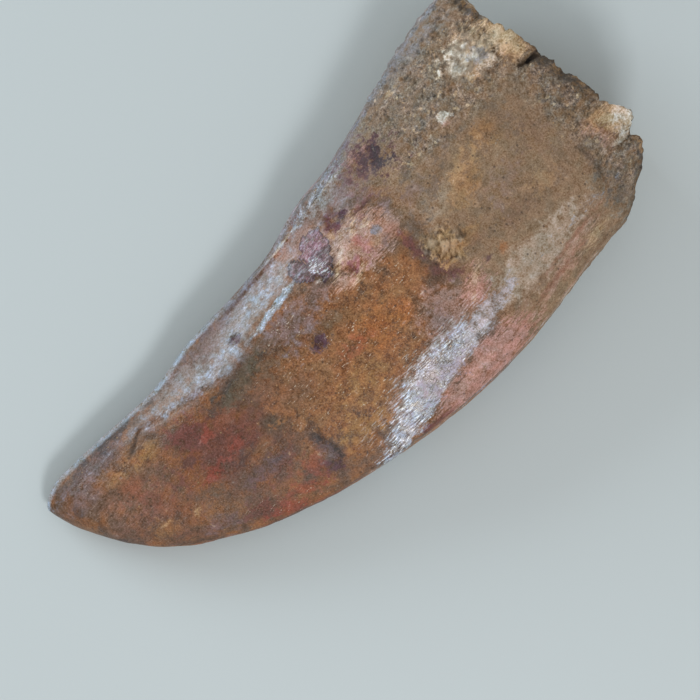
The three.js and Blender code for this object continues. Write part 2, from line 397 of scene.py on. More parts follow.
def sidePoint(share, angle):
    # a point of the blade's side; the angle starts at the rear edge and runs over the top to the front
    # edge. Returns the point, its relief, how deep in a seam it is, the shade of its crystal, its distances
    # from the rim and from the rear edge, and its place on the flat sheet
    evenAcross = 1 - 2 * abs(angle) / math.pi
    acrossShare = mix(math.cos(angle), evenAcross, blade["angleEvening"])
    widthShare = (1 + acrossShare) / 2
    upper = angle > 0
    upperShare = smoothStep(math.sin(angle), -0.5, 0.5)

    plainStation = blade["length"] * share ** blade["ringCrowding"]
    rim = mix(lowerRim(widthShare), upperRim(widthShare), upperShare)
    around = Vector((13 * math.cos(angle), 13 * math.sin(angle), 3.7))
    rim += wear["rimCrumble"] * noise.fractal(around, 0.8, 2.2, 4)
    chip = around * 0.55 + Vector((0, 0, 0.3 * noise.noise(around)))
    rim += wear["rimChip"] * noise.cell(chip) * upperShare
    towardsBreak = smoothStep(plainStation, blade["crownLength"], blade["length"])
    station = plainStation * mix(1, rim / blade["length"], towardsBreak)
    rimAway = rim - station

    rear = mix(blade["tipAcross"], rearEdge(station), rounded(station, 2.7))
    front = mix(blade["tipAcross"], frontEdge(station), rounded(station, 1.4))
    middle = (rear + front) / 2
    half = max(0.01, (rear - front) / 2)
    across = middle + half * acrossShare
    edgeAway = (1 - acrossShare) * half
    power = blade["upperArchPower"] if upper else blade["lowerArchPower"]
    arch = profileHeight(station, acrossShare, middle, half, power)
    halfThickness = blade["rootThickness"] / 2 * thicknessShare(station) * rounded(station, 4)

    wobble = Vector((station * 0.7, across * 0.7, 5.1 if upper else 9.4))
    warpX, warpY = 0.5 * noise.noise(wobble), 0.5 * noise.noise(wobble + Vector((0, 0, 7.7)))
    relief = spotHeight(upperSpots if upper else lowerSpots, station + warpX, across + warpY)
    seam, block = 0.0, 0.0
    if upper:
        bend = Vector((station * 1.3, across * 1.3, 2.6))
        height, seam, block = crystalRelief(
            station + 0.6 * noise.noise(bend), across + 0.6 * noise.noise(-bend))
        relief += height
        height, crack = crustRelief(station, across)
        relief += height
        seam = max(seam, crack)
        if ledge["start"] < station < ledge["end"]:
            ends = smoothStep(station, ledge["start"], ledge["start"] + ledge["fade"])
            ends *= 1 - smoothStep(station, ledge["end"] - ledge["fade"], ledge["end"])
            below = ledge["line"](station) + 0.5 * warpY - across
            relief -= ends * ledge["step"] * smoothStep(below, -0.2, 0.7)
        # the rim is broken away on a slant in places
        slantWidth = wear["slantWidth"] * (1 + warpX)
        relief -= wear["slantDepth"] * rimSlant(across) * smoothStep(rimAway, slantWidth, 0.0)
    relief *= min(1.0, 3 * arch)

    edgePlane = halfThickness - blade["restDepth"] + blade["tipLift"] * (1 - rounded(station, 30))
    outward = halfThickness * arch + relief
    height = edgePlane + outward if upper else edgePlane - outward
    point = Vector((station, across, height))
    onSheet = (station, middle + half * evenAcross, "upper" if upper else "lower")
    return point, relief, seam, block, rimAway, edgeAway, onSheet


def endPoint(share, angle, rims):
    # a point of the broken end; the share runs from 1 at its rim to 0 in the middle
    if angle not in rims:
        rims[angle] = sidePoint(1, angle)[0]
    rim = rims[angle]
    point = rims["middle"].lerp(rim, share)
    inside = 1 - share
    widthShare = (1 + share * math.cos(angle)) / 2
    flat = Vector((0, point.y, point.z))
    rough = noise.fractal(flat * 0.35, 1.0, 2.1, 5) * 2 + 0.4 * noise.fractal(flat * 1.1, 1.0, 2, 3)
    hollow = wear["pulpDepth"] * smoothStep(inside, 0.25, 0.6)
    face = breakFace(widthShare) - hollow + wear["breakGrain"] * rough
    point.x = mix(rim.x, face, smoothStep(inside, 0, 0.16))
    return point


def makeTooth():
    bm = bmesh.new()
    rings = blade["sideRings"] + blade["endRings"]
    segments = blade["upperSegments"] + blade["lowerSegments"]
    bmesh.ops.create_uvsphere(bm, u_segments=segments, v_segments=rings, radius=1)
    bmesh.ops.rotate(bm, verts=bm.verts, matrix=Matrix.Rotation(-math.pi / 2, 3, "Y"))

    layers = {name: bm.verts.layers.float.new(name) for name in meshMasks}
    rims = {"middle": (sidePoint(1, math.pi / 2)[0] + sidePoint(1, -math.pi / 2)[0]) / 2}
    sheet = {}
    for vert in bm.verts:
        ring = round(math.acos(min(1.0, max(-1.0, -vert.co.x))) / math.pi * rings, 3)
        step = round(math.atan2(vert.co.z, vert.co.y) / (2 * math.pi) * segments) % segments
        if step <= blade["upperSegments"]:
            angle = math.pi * step / blade["upperSegments"]
        else:
            angle = math.pi * ((step - blade["upperSegments"]) / blade["lowerSegments"] - 1)
        vert[layers["upper"]] = smoothStep(math.sin(angle), -0.1, 0.1)
        if ring <= blade["sideRings"]:
            found = sidePoint(ring / blade["sideRings"], angle)
            point, vert[layers["recess"]], vert[layers["seam"]], vert[layers["block"]] = found[:4]
            slant = 0.25 + 0.75 * rimSlant(point.y)
            vert[layers["rim"]] = slant * max(0.0, 1 - found[4] / 3)
            vert[layers["carina"]] = max(0.0, 1 - found[5])
            for name in polishedBands:
                vert[layers[name]] = bandDepth(name, point.x, point.y)
            sheet[vert] = found[6]
        else:
            inside = (rings - ring) / blade["endRings"]
            point = endPoint(inside, angle, rims)
            vert[layers["broken"]] = 1 - inside
            vert[layers["rim"]] = 1
            sheet[vert] = (point.y, point.z, "end")
        vert.co = point
    print("tooth: shape", len(bm.verts), "points")

    bm.normal_update()
    moves = {}
    for vert in bm.verts:
        if vert[layers["broken"]] == 0:
            lift, seam = fineRelief(vert.co, vert.co.x, vert.co.y, vert.normal.z > 0)
            moves[vert] = vert.normal * lift
            vert[layers["recess"]] += lift
            vert[layers["seam"]] = max(vert[layers["seam"]], seam)
    for vert, move in moves.items():
        vert.co += move
    for vert in bm.verts:
        vert.co.z = max(0.0, vert.co.z)
    print("tooth: fine relief")

    unwrap(bm, sheet)
    for vert in bm.verts:
        vert.co = tipCorner + vert.co * mm
    for face in bm.faces:
        face.smooth = True
    bmesh.ops.recalc_face_normals(bm, faces=bm.faces)
    mesh = bpy.data.meshes.new("fossilTooth")
    bm.to_mesh(mesh)
    bm.free()
    made = bpy.data.objects.new("fossilTooth", mesh)
    bpy.context.scene.collection.objects.link(made)
    print("tooth: mesh", len(mesh.polygons), "faces")
    return made


def unwrap(bm, sheet):
    # upper side, lower side and broken end are laid flat side by side on one sheet
    page = {"size": 98.0, "left": 1.5, "upper": 21.5, "lower": 65.0, "endLeft": 82.5, "endMiddle": 30.0}
    layer = bm.loops.layers.uv.new("OFBake")
    for face in bm.faces:
        kinds = [sheet[vert][2] for vert in face.verts]
        side = "lower" if kinds.count("lower") > 1 else "upper"
        for loop in face.loops:
            if "end" in kinds:
                spot = Vector((page["endLeft"] + loop.vert.co.z, page["endMiddle"] + loop.vert.co.y))
            else:
                station, across = sheet[loop.vert][:2]
                spot = Vector((page["left"] + station, page[side] + across))
            loop[layer].uv = spot / page["size"]


def tone(red, green, blue):
    # a colour given in the usual 0 to 255 steps
    def linear(step):
        share = step / 255
        return share / 12.92 if share <= 0.04045 else ((share + 0.055) / 1.055) ** 2.4

    return (linear(red), linear(green), linear(blue), 1)


def connect(tree, socket, value):
    if isinstance(value, bpy.types.NodeSocket):
        tree.links.new(value, socket)
    else:
        socket.default_value = value


def addNode(tree, kind, inputs=None, **settings):
    made = tree.nodes.new("ShaderNode" + kind)
    for name, value in settings.items():
        setattr(made, name, value)
    for name, value in (inputs or {}).items():
        connect(tree, made.inputs[name], value)
    return made


def calculate(tree, operation, first, *others):
    # one Math node after the other, for any number of values
    for other in others:
        first = addNode(tree, "Math", {0: first, 1: other}, operation=operation).outputs[0]
    return first


def plus(tree, *values):
    return calculate(tree, "ADD", *values)


def minus(tree, first, second):
    return calculate(tree, "SUBTRACT", first, second)


def times(tree, *values):
    return calculate(tree, "MULTIPLY", *values)


def highest(tree, *values):
    return calculate(tree, "MAXIMUM", *values)


def combine(tree, operation, first, second):
    return addNode(tree, "VectorMath", {0: first, 1: second}, operation=operation).outputs[0]


def scaled(tree, vector, amount):
    return addNode(tree, "VectorMath", {0: vector, "Scale": amount}, operation="SCALE").outputs[0]


def reach(tree, vector, x, y):
    # how far the vector reaches along the direction
    return addNode(tree, "VectorMath", {0: vector, 1: (x, y, 0)}, operation="DOT_PRODUCT").outputs["Value"]


def blend(tree, share, low, high, kind="MIX"):
    # Mix node's colour sockets: 0 is the share, 6 and 7 the two colours
    return addNode(tree, "Mix", {0: share, 6: low, 7: high}, data_type="RGBA", blend_type=kind).outputs[2]


def tint(tree, colour, shade, *shares):
    # the shade laid over the colour as far as all the shares let it
    return blend(tree, times(tree, *shares), colour, shade)


def ramp(tree, value, low, high, start=0.0, end=1.0, smooth=True):
    # a smooth step keeps to its ends by itself; Clamp adds a node to every mask and the shader gets too big
    kind = "SMOOTHSTEP" if smooth else "LINEAR"
    ends = {"Value": value, "From Min": low, "From Max": high, "To Min": start, "To Max": end}
    return addNode(tree, "MapRange", ends, interpolation_type=kind, clamp=not smooth).outputs[0]


def spread(tree, noiseValue, amount):
    # the middle of a noise stretched to reach from -amount to amount
    return ramp(tree, noiseValue, 0.3, 0.7, -amount, amount, smooth=False)


def shades(tree, value, stops):
    # a colour picked from several tones by the value
    band = addNode(tree, "ValToRGB", {"Fac": value})
    for index, (start, shade) in enumerate(stops):
        stop = band.color_ramp.elements[index] if index < 2 else band.color_ramp.elements.new(start)
        stop.position = start
        stop.color = shade
    return band.outputs[0]


def noiseAt(tree, place, scale, detail=3.0, rough=0.55):
    made = addNode(tree, "TexNoise", {"Vector": place, "Scale": scale, "Detail": detail, "Roughness": rough})
    return made.outputs["Fac"], made.outputs["Color"]


def pushed(tree, place, scale, detail, rough, amount):
    # place, moved about by noise
    away = combine(tree, "SUBTRACT", noiseAt(tree, place, scale, detail, rough)[1], (0.5, 0.5, 0.5))
    return combine(tree, "ADD", place, scaled(tree, away, amount))


def strokesAt(tree, place, wobbleScale, wobble, turn, stretch):
    # place, turned and stretched so that a noise on it is drawn out into wavy strokes
    wavy = pushed(tree, place, wobbleScale, 2, 0.5, wobble)
    return addNode(tree, "Mapping", {"Vector": wavy, "Rotation": (0, 0, math.radians(turn)),
                                     "Scale": stretch}).outputs[0]


def newGroup(name, inputs, outputs):
    group = bpy.data.node_groups.new(name, "ShaderNodeTree")
    for title, kind in inputs:
        group.interface.new_socket(title, in_out="INPUT", socket_type="NodeSocket" + kind)
    for title, kind in outputs:
        group.interface.new_socket(title, in_out="OUTPUT", socket_type="NodeSocket" + kind)
    return group, group.nodes.new("NodeGroupInput"), group.nodes.new("NodeGroupOutput")


def stainGroup():
    # a ragged oval stain: Grain eats into its border by the amount in Ragged
    group, given, result = newGroup(
        "stain",
        (("Place", "Vector"), ("Centre", "Vector"), ("Size", "Vector"), ("Turn", "Float"),
         ("Softness", "Float"), ("Ragged", "Float"), ("Grain", "Float"), ("Strength", "Float")),
        (("Mask", "Float"),))
    taken = given.outputs
    away = combine(group, "SUBTRACT", taken["Place"], taken["Centre"])
    turned = addNode(group, "VectorRotate", {"Vector": away, "Angle": taken["Turn"]},
                     rotation_type="Z_AXIS").outputs[0]
    stretched = combine(group, "DIVIDE", turned, taken["Size"])
    length = addNode(group, "VectorMath", {0: stretched}, operation="LENGTH").outputs["Value"]
    bite = times(group, minus(group, taken["Grain"], 0.5), taken["Ragged"])
    inside = plus(group, minus(group, 1.0, length), bite)
    mask = times(group, ramp(group, inside, 0.0, taken["Softness"]), taken["Strength"])
    group.links.new(mask, result.inputs["Mask"])
    return group


def weatherGroup():
    # grain of a natural surface: lighter and darker, redder and greyer by turns
    group, given, result = newGroup(
        "weather",
        (("Color", "Color"), ("Mottle", "Float"), ("Grain", "Float"), ("Cell", "Float"), ("Hue", "Float"),
         ("Amount", "Float")),
        (("Color", "Color"),))
    taken = given.outputs
    gain = 0.0
    for name, weight in (("Mottle", 2.3), ("Grain", 2.4), ("Cell", 0.25)):
        gain = plus(group, times(group, minus(group, taken[name], 0.5), weight), gain)
    gain = times(group, gain, taken["Amount"])
    gain = highest(group, plus(group, gain, 1.0), 0.4)
    redder = blend(group, 1.0, taken["Color"], (1.08, 0.97, 0.93, 1), "MULTIPLY")
    greyer = blend(group, 1.0, taken["Color"], (0.93, 0.98, 1.0, 1), "MULTIPLY")
    hued = blend(group, ramp(group, taken["Hue"], 0.32, 0.68), greyer, redder)
    hued = blend(group, taken["Amount"], taken["Color"], hued)
    hued = blend(group, ramp(group, gain, 0.95, 0.5), hued, (1.16, 0.96, 0.66, 1), "MULTIPLY")
    hued = blend(group, ramp(group, gain, 1.05, 1.5), hued, (0.92, 1.0, 1.16, 1), "MULTIPLY")
    lit = addNode(group, "HueSaturation", {"Color": hued, "Value": gain}).outputs[0]
    group.links.new(lit, result.inputs["Color"])
    return group


# colours of the fossil
colours = {
    "ochre": tone(143, 98, 58),
    "amber": tone(157, 98, 48),
    "gold": tone(160, 117, 64),
    "umber": tone(108, 80, 62),
    "umberDark": tone(58, 44, 36),
    "redBrown": tone(108, 60, 50),
    "brick": tone(140, 66, 48),
    "olive": tone(88, 78, 60),
    "soot": tone(46, 42, 42),
    "mauveGrey": tone(122, 102, 98),
    "dusk": tone(92, 76, 78),
    "mauve": tone(150, 110, 124),
    "plum": tone(78, 48, 60),
    "maroon": tone(94, 44, 50),
    "flesh": tone(188, 152, 134),
    "rose": tone(184, 140, 128),
    "pinkGrey": tone(156, 128, 116),
    "cream": tone(208, 184, 148),
    "magenta": tone(160, 98, 104),
    "sheenHaze": tone(172, 162, 162),
    "lilac": tone(138, 124, 132),
    "straw": tone(182, 146, 102),
    "bone": tone(220, 210, 192),
    "blueGrey": tone(132, 136, 146),
    "tan": tone(151, 125, 97),
    "sand": tone(178, 161, 142),
    "rootGrey": tone(136, 122, 106),
    "darkRoot": tone(88, 76, 66),
    "greenGrey": tone(138, 128, 112),
    "sheenSilver": tone(158, 162, 168),
    "stone": tone(140, 134, 128),
    # painted highlight colours: white glare and blue-white glare
    "paintedHighlight": tone(222, 230, 238),
    "highlightBlue": tone(168, 182, 194),
    "rust": tone(138, 88, 62),
    "rootBrown": tone(134, 110, 86),
}

# tones of the painted sheen on the polished enamel, of the crystals and of the coarse crust: value at which
# each is reached, colour
paintedSheenTones = (
    (0.34, tone(92, 90, 96)),
    (0.5, tone(120, 127, 137)),
    (0.66, tone(146, 159, 174)),
)
crystalTones = (
    (0.2, tone(70, 44, 54)),
    (0.3, tone(98, 64, 78)),
    (0.42, tone(118, 84, 94)),
    (0.55, tone(150, 112, 124)),
    (0.9, tone(88, 60, 82)),
)
crustTones = (
    (0.3, tone(34, 29, 26)),
    (0.41, tone(88, 76, 66)),
    (0.49, tone(134, 119, 102)),
    (0.6, tone(162, 145, 124)),
    (0.74, tone(206, 190, 166)),
)

# stains and painted light from the first laid to the last, the painted sheen, highlights and shade marked as
# such:
# colour, station, across, half length, half width, turn in degrees, softness of the border, raggedness and
# strength
stainsAndPaintedLight = (
    # crown, front half
    ("dusk", 7.5, 9.2, 8, 1.7, 0, 0.7, 0.9, 0.7),
    ("mauveGrey", 3.6, 8.2, 2.2, 1.6, 0, 0.9, 1.2, 0.6),
    ("umber", 1.5, 6, 2.8, 6.5, -20, 0.7, 1.2, 0.4),
    ("mauveGrey", 4.6, 7.4, 4.2, 2.0, 10, 0.8, 1.2, 0.6),
    ("flesh", 9.0, 3.0, 7.0, 6.0, -20, 0.9, 1.4, 0.2),
    ("gold", 8.6, 6.0, 2.4, 1.5, 10, 0.8, 1.2, 0.5),
    ("rust", 8.4, 4.3, 3.2, 2.0, -20, 0.8, 1.2, 0.8),
    ("gold", 13, 5.6, 2.8, 1.5, 10, 0.8, 1.2, 0.65),
    ("olive", 12.8, 2.9, 2.4, 1.3, 0, 0.8, 1.2, 0.35),
    ("rust", 9.8, 1.4, 2.4, 1.6, -30, 0.8, 1.2, 0.75),
    ("gold", 8.6, -1.8, 2.6, 1.6, -30, 0.8, 1.2, 0.8),
    ("ochre", 12.6, -3.4, 3.6, 2.6, -20, 0.8, 1.2, 0.75),
    ("rust", 10.5, -5.0, 3.4, 1.0, -35, 0.8, 1.2, 0.5),
    ("redBrown", 20, 0.4, 9.5, 7.4, -15, 0.8, 0.9, 0.8),
    ("redBrown", 10, -0.5, 6.5, 5.0, -25, 0.9, 1.1, 0.45),
    ("redBrown", 17.6, 4.3, 3.2, 2.4, 0, 0.7, 1.0, 0.95),
    ("rust", 22.5, 2.2, 2.2, 1.4, 10, 0.8, 1.2, 0.5),
    ("brick", 19.4, 2.4, 1.5, 1.0, 40, 0.8, 1.2, 0.8),
    ("brick", 16.8, -1.3, 2.6, 1.0, 10, 0.7, 1.2, 0.8),
    ("brick", 21.2, -0.8, 2.2, 0.9, 15, 0.8, 1.3, 0.6),
    ("umber", 18.5, -4.2, 5.5, 2.2, 0, 0.8, 1.0, 0.8),
    ("redBrown", 22.5, -6.2, 4.4, 2.4, 0, 0.8, 1.1, 0.6),
    ("mauveGrey", 22.0, -5.6, 3.0, 1.2, 0, 0.8, 1.3, 0.35),
    ("mauveGrey", 13.5, -6.2, 3.4, 1.6, -30, 0.9, 1.2, 0.5),
    ("dusk", 13.0, -6.0, 3.4, 1.4, -30, 0.9, 1.6, 0.4),
    ("dusk", 28.0, -8.4, 1.6, 3.4, 0, 0.7, 1.0, 0.9),
    ("dusk", 20.8, -4.8, 3.4, 1.8, 0, 0.9, 1.6, 0.5),
    ("redBrown", 17.5, -8.4, 3.8, 1.5, -30, 0.8, 1.2, 0.7),
    ("brick", 20.3, -10.6, 4.2, 0.9, -25, 0.8, 1.2, 0.75),
    ("brick", 22.6, -9.9, 5.0, 1.0, -20, 0.9, 1.6, 0.6),
    ("brick", 25.4, -9.0, 2.0, 2.4, 0, 0.8, 1.2, 0.6),
    ("ochre", 22.4, -3.2, 2.6, 1.0, 10, 0.8, 1.2, 0.6),
    ("olive", 25.6, -2.0, 2.4, 2.2, 0, 0.8, 1.1, 0.6),
    ("straw", 9.0, -1.5, 0.7, 0.5, 0, 0.9, 1.6, 0.7),
    ("straw", 12.2, -3.1, 0.9, 0.4, 30, 0.9, 1.6, 0.65),
    ("straw", 9.9, 6.4, 0.9, 0.5, 30, 0.9, 1.6, 0.5),
    ("soot", 3.2, 1.1, 3.6, 0.5, -50, 0.9, 1.2, 0.6),
    ("soot", 9.5, -5.4, 5.0, 0.45, -33, 0.9, 1.4, 0.55),
    ("soot", 2.3, 6.6, 0.6, 1.3, -20, 0.9, 1.2, 0.5),
    ("soot", 3.2, 4.0, 0.6, 1.5, -20, 0.9, 1.2, 0.5),
    ("soot", 12.5, 7.5, 1.7, 0.5, 30, 0.8, 1.0, 0.6),
    # painted sheen on the rear flank near the tip
    ("sheenSilver", 13.4, 8.9, 1.3, 0.6, 20, 0.9, 1.4, 0.5),
    ("soot", 10.7, 4.0, 0.7, 1.0, 0, 0.9, 1.2, 0.4),
    ("soot", 22.5, 3.9, 3.2, 1.0, 5, 0.9, 1.5, 0.5),
    ("soot", 20.5, -2.6, 2.6, 0.9, 10, 0.9, 2.0, 0.5),
    ("soot", 15.6, 1.6, 1.8, 0.9, -40, 0.9, 2.0, 0.45),
    ("soot", 24.4, -4.6, 1.8, 1.0, 30, 0.9, 2.0, 0.45),
    ("olive", 14.8, -2.4, 2.4, 1.2, -30, 0.9, 1.6, 0.5),
    # painted shade: the dark strip just inside the pale rear edge of the tip
    ("soot", 14.0, 10.0, 13, 0.75, 0, 0.8, 0.9, 0.8),
    # middle: dark band, ochre body and the rear flank with its painted grey sheen
    ("mauveGrey", 29.0, 9.8, 16.0, 2.0, 4, 0.6, 1.0, 0.85),
    # painted grey sheen on the rear flank
    ("stone", 21.0, 8.8, 8.0, 1.7, -4, 0.8, 1.2, 0.6),
    ("umber", 14.5, 8.3, 3.6, 1.2, -8, 0.9, 1.4, 0.7),
    ("olive", 26.6, 4.0, 5.4, 2.2, 0, 0.6, 1.0, 0.85),
    ("soot", 26.0, 5.0, 4.4, 0.7, 8, 0.8, 1.2, 0.5),
    ("soot", 30.4, 4.3, 1.8, 1.1, 0, 0.9, 1.8, 0.6),
    ("ochre", 37, -3.0, 11, 9.2, -8, 0.25, 0.8, 0.9),
    ("gold", 32.5, -9.8, 4.2, 2.8, -10, 0.7, 1.0, 0.6),
    ("gold", 36.6, -6.0, 5, 3.0, 0, 0.9, 1.0, 0.45),
    ("amber", 42.5, -3.0, 5.2, 3.0, -10, 0.7, 0.9, 0.8),
    ("amber", 45.3, -4.3, 1.8, 1.5, 0, 0.8, 0.7, 0.8),
    ("brick", 38.4, -2.6, 3.2, 1.2, 0, 0.9, 1.6, 0.45),
    ("umber", 28.0, 1.8, 4.6, 2.2, 5, 0.9, 1.2, 0.6),
    ("olive", 29.0, 5.2, 4.6, 1.1, 10, 0.9, 1.2, 0.8),
    ("olive", 31.0, 2.8, 4.2, 1.4, 8, 0.9, 1.8, 0.45),
    ("umberDark", 24.5, 4.6, 3.6, 0.6, -4, 0.9, 1.6, 0.5),
    ("umber", 25.8, 5.4, 3.4, 0.9, -2, 0.9, 1.2, 0.75),
    ("umber", 34.0, 3.6, 5.5, 1.9, 0, 0.9, 1.2, 0.75),
    ("umber", 30.5, -1.5, 3.4, 2.6, 0, 0.9, 1.2, 0.55),
    ("olive", 38.5, 1.6, 4.4, 1.6, 5, 0.9, 1.4, 0.55),
    # painted grey and blue-grey sheen on the rear flank
    ("stone", 31.5, 8.3, 9.5, 2.4, 3, 0.8, 0.9, 0.6),
    ("blueGrey", 26.5, 6.9, 4.5, 1.2, -6, 0.9, 1.0, 0.4),
    ("mauveGrey", 35.8, 4.0, 4.8, 2.4, 0, 0.8, 1.5, 0.65),
    ("mauveGrey", 34.6, 5.5, 4.4, 0.9, 3, 0.8, 1.1, 0.8),
    ("mauveGrey", 35.2, 2.2, 2.8, 1.7, 0, 0.9, 1.8, 0.5),
    ("mauveGrey", 33.2, 1.7, 1.6, 1.2, 0, 0.9, 1.8, 0.5),
    ("mauveGrey", 39.8, 4.6, 3.4, 1.4, 5, 0.9, 1.5, 0.6),
    ("mauveGrey", 32.0, 10.7, 8.0, 1.0, 3, 0.7, 1.0, 0.85),
    ("plum", 36.1, 0.6, 1.2, 1.0, 0, 0.9, 2.4, 0.9),
    ("plum", 29.3, 7.7, 0.8, 0.6, 0, 0.6, 1.0, 0.75),
    ("maroon", 26.5, 11.2, 1.4, 0.4, 0, 0.8, 1.0, 0.8),
    ("maroon", 35.5, 11.2, 2.6, 0.35, 5, 0.8, 1.4, 0.6),
    ("soot", 28.0, -7.0, 0.9, 1.2, 15, 0.7, 1.2, 0.85),
    ("plum", 27.0, -10.6, 1.6, 1.5, 0, 0.8, 1.2, 0.7),
    ("soot", 28.6, -9.6, 0.4, 1.7, 0, 0.8, 1.2, 0.75),
    ("mauveGrey", 27.6, -9.2, 0.8, 1.2, 0, 0.8, 1.2, 0.7),
    # front band and the pink belt between crown and root
    ("mauveGrey", 43.0, -9.6, 7.0, 1.3, 6, 0.9, 1.5, 0.6),
    ("pinkGrey", 49.0, -7.0, 4.6, 3.4, 0, 0.6, 1.0, 0.8),
    ("mauveGrey", 47.6, -7.6, 2.2, 2.6, 0, 0.8, 1.3, 0.5),
    ("rose", 47.5, -14.9, 9.5, 2.2, 2, 0.35, 0.8, 0.9),
    ("mauveGrey", 42.8, -12.2, 3.0, 0.9, 14, 0.9, 1.4, 0.6),
    ("flesh", 46, -14.6, 5.0, 0.8, 5, 0.9, 1.4, 0.5),
    ("redBrown", 39.0, -15.6, 3.4, 0.7, -6, 0.7, 1.0, 0.8),
    ("rose", 40.5, 10.4, 3.6, 1.4, 12, 0.7, 1.2, 0.7),
    ("pinkGrey", 43.8, 11.0, 3.6, 1.2, 10, 0.8, 1.2, 0.75),
    ("mauveGrey", 45.5, 11.6, 3.4, 0.8, 8, 0.9, 1.6, 0.6),
    ("mauveGrey", 42.5, 10.9, 4.2, 0.9, 10, 0.8, 1.4, 0.6),
    ("dusk", 30.0, 10.9, 7.0, 0.7, 2, 0.8, 1.2, 0.6),
    ("rust", 39.0, 8.9, 1.6, 0.8, 12, 0.9, 1.4, 0.5),
    ("sand", 38.4, 9.3, 1.8, 1.0, 12, 0.9, 1.4, 0.4),
    ("mauveGrey", 49.6, 10.6, 5.2, 2.2, 5, 0.7, 1.2, 0.9),
    ("dusk", 54.6, 11.2, 3.8, 2.8, 0, 0.9, 1.6, 0.5),
    ("mauveGrey", 51.6, 8.8, 2.8, 1.6, 0, 0.9, 1.4, 0.6),
    ("pinkGrey", 47.5, 6.2, 5.8, 4.0, -10, 0.5, 1.0, 0.85),
    ("pinkGrey", 41.5, 9.6, 4.4, 2.4, 8, 0.7, 1.2, 0.7),
    ("flesh", 48.2, 5.4, 4.4, 3.2, -15, 0.4, 1.0, 0.85),
    ("flesh", 45.5, 5.6, 2.6, 1.9, 20, 0.5, 1.0, 0.9),
    ("stone", 48.0, 7.2, 1.6, 0.8, -10, 0.8, 1.6, 0.7),
    ("bone", 45.4, 6.3, 1.4, 0.4, 30, 0.8, 1.2, 0.4),
    ("bone", 42.0, 5.4, 1.2, 0.3, -5, 0.8, 1.2, 0.7),
    ("flesh", 43.0, 3.4, 2.3, 1.2, -20, 0.7, 1.3, 0.8),
    ("cream", 47.0, 5.8, 2.4, 1.8, 0, 0.9, 3.0, 0.15),
    ("rose", 48.6, 5.9, 2.0, 1.6, 0, 0.9, 3.0, 0.6),
    # painted highlight on the fine strokes of the pink patch
    ("paintedHighlight", 46.6, 6.9, 2.0, 1.2, -20, 0.9, 3.6, 0.12),
    ("rose", 48.4, 3.3, 3.0, 0.8, 10, 0.8, 1.3, 0.75),
    ("rust", 50.8, 3.6, 1.6, 1.6, 0, 0.9, 1.4, 0.5),
    ("magenta", 45.5, 3.8, 1.9, 1.1, -10, 0.9, 1.8, 0.75),
    ("magenta", 47.6, 4.6, 1.2, 1.6, -20, 0.9, 2.2, 0.5),
    ("gold", 48.9, 4.2, 1.0, 1.4, -20, 0.9, 1.6, 0.55),
    ("dusk", 49.6, 3.4, 0.9, 0.8, 0, 0.9, 1.6, 0.5),
    ("cream", 46.2, 7.4, 1.7, 0.45, 38, 0.9, 1.8, 0.35),
    ("cream", 43.7, 5.1, 1.6, 0.35, 30, 0.9, 1.6, 0.6),
    ("cream", 48.2, 7.4, 1.8, 0.5, 40, 0.9, 2.0, 0.6),
    ("cream", 45.0, 2.9, 1.8, 0.5, 20, 0.9, 1.8, 0.5),
    ("cream", 49.6, 6.4, 0.9, 0.6, 0, 0.9, 2.0, 0.5),
    ("brick", 47.6, 5.8, 0.9, 0.5, 30, 0.9, 2.4, 0.4),
    ("rust", 46.6, 5.2, 0.7, 1.3, -10, 0.9, 2.4, 0.5),
    ("maroon", 49.8, 7.4, 1.3, 0.4, 30, 0.9, 2.0, 0.5),
    ("maroon", 44.7, 3.7, 0.6, 1.1, 0, 0.8, 1.2, 0.65),
    ("blueGrey", 49.9, 5.1, 1.0, 0.75, 0, 0.6, 0.8, 0.8),
    ("maroon", 46.5, 9.1, 0.9, 1.3, -10, 0.6, 1.4, 0.95),
    ("maroon", 47.2, 9.8, 0.9, 0.7, 0, 0.6, 1.4, 0.9),
    ("plum", 48.1, 9.0, 1.0, 0.65, 15, 0.6, 1.3, 0.95),
    ("rose", 41.6, 10.2, 2.0, 0.6, 5, 0.8, 1.2, 0.5),
    ("straw", 45.6, 8.2, 0.5, 0.5, 0, 0.7, 0.8, 0.6),
    ("maroon", 44.0, 12.7, 1.7, 0.5, 12, 0.7, 1.1, 0.85),
    ("maroon", 50.6, 8.1, 2.2, 0.4, 0, 0.8, 1.4, 0.6),
    ("maroon", 51.4, 0.6, 1.0, 2.6, 0, 0.8, 1.6, 0.7),
    ("maroon", 51.5, -3.3, 1.5, 1.6, 0, 0.8, 1.3, 0.6),
    ("maroon", 52.6, -4.6, 1.4, 0.9, -30, 0.7, 1.5, 0.7),
    ("straw", 54.2, -1.9, 2.5, 2.3, 0, 0.4, 1.5, 0.95),
    ("straw", 53.2, -0.1, 1.3, 1.4, 0, 0.5, 1.5, 0.75),
    ("gold", 53.8, -2.6, 1.6, 1.2, 0, 0.8, 1.6, 0.5),
    ("rose", 53.0, -7.7, 3.2, 2.0, 30, 0.6, 1.2, 1.0),
    ("cream", 53.8, -6.9, 2.0, 0.6, 35, 0.9, 1.6, 0.6),
    ("cream", 52.4, -8.2, 1.6, 0.4, 35, 0.9, 1.6, 0.5),
    ("plum", 56.6, -6.3, 0.9, 0.4, 0, 0.8, 1.0, 0.7),
    ("amber", 58.4, -6.6, 1.0, 0.7, 0, 0.9, 1.0, 0.75),
    # painted grey and blue-grey sheen along the rear edge, on the crown's end and the root
    ("stone", 51, 13.2, 9.0, 1.9, 10, 0.6, 1.2, 0.85),
    ("stone", 67, 16.6, 10.0, 2.1, 9, 0.7, 1.2, 0.8),
    ("blueGrey", 64, 16.4, 7.0, 1.5, 9, 0.9, 1.6, 0.55),
    ("dusk", 52.6, 6.8, 2.2, 1.5, 0, 0.9, 2.0, 0.45),
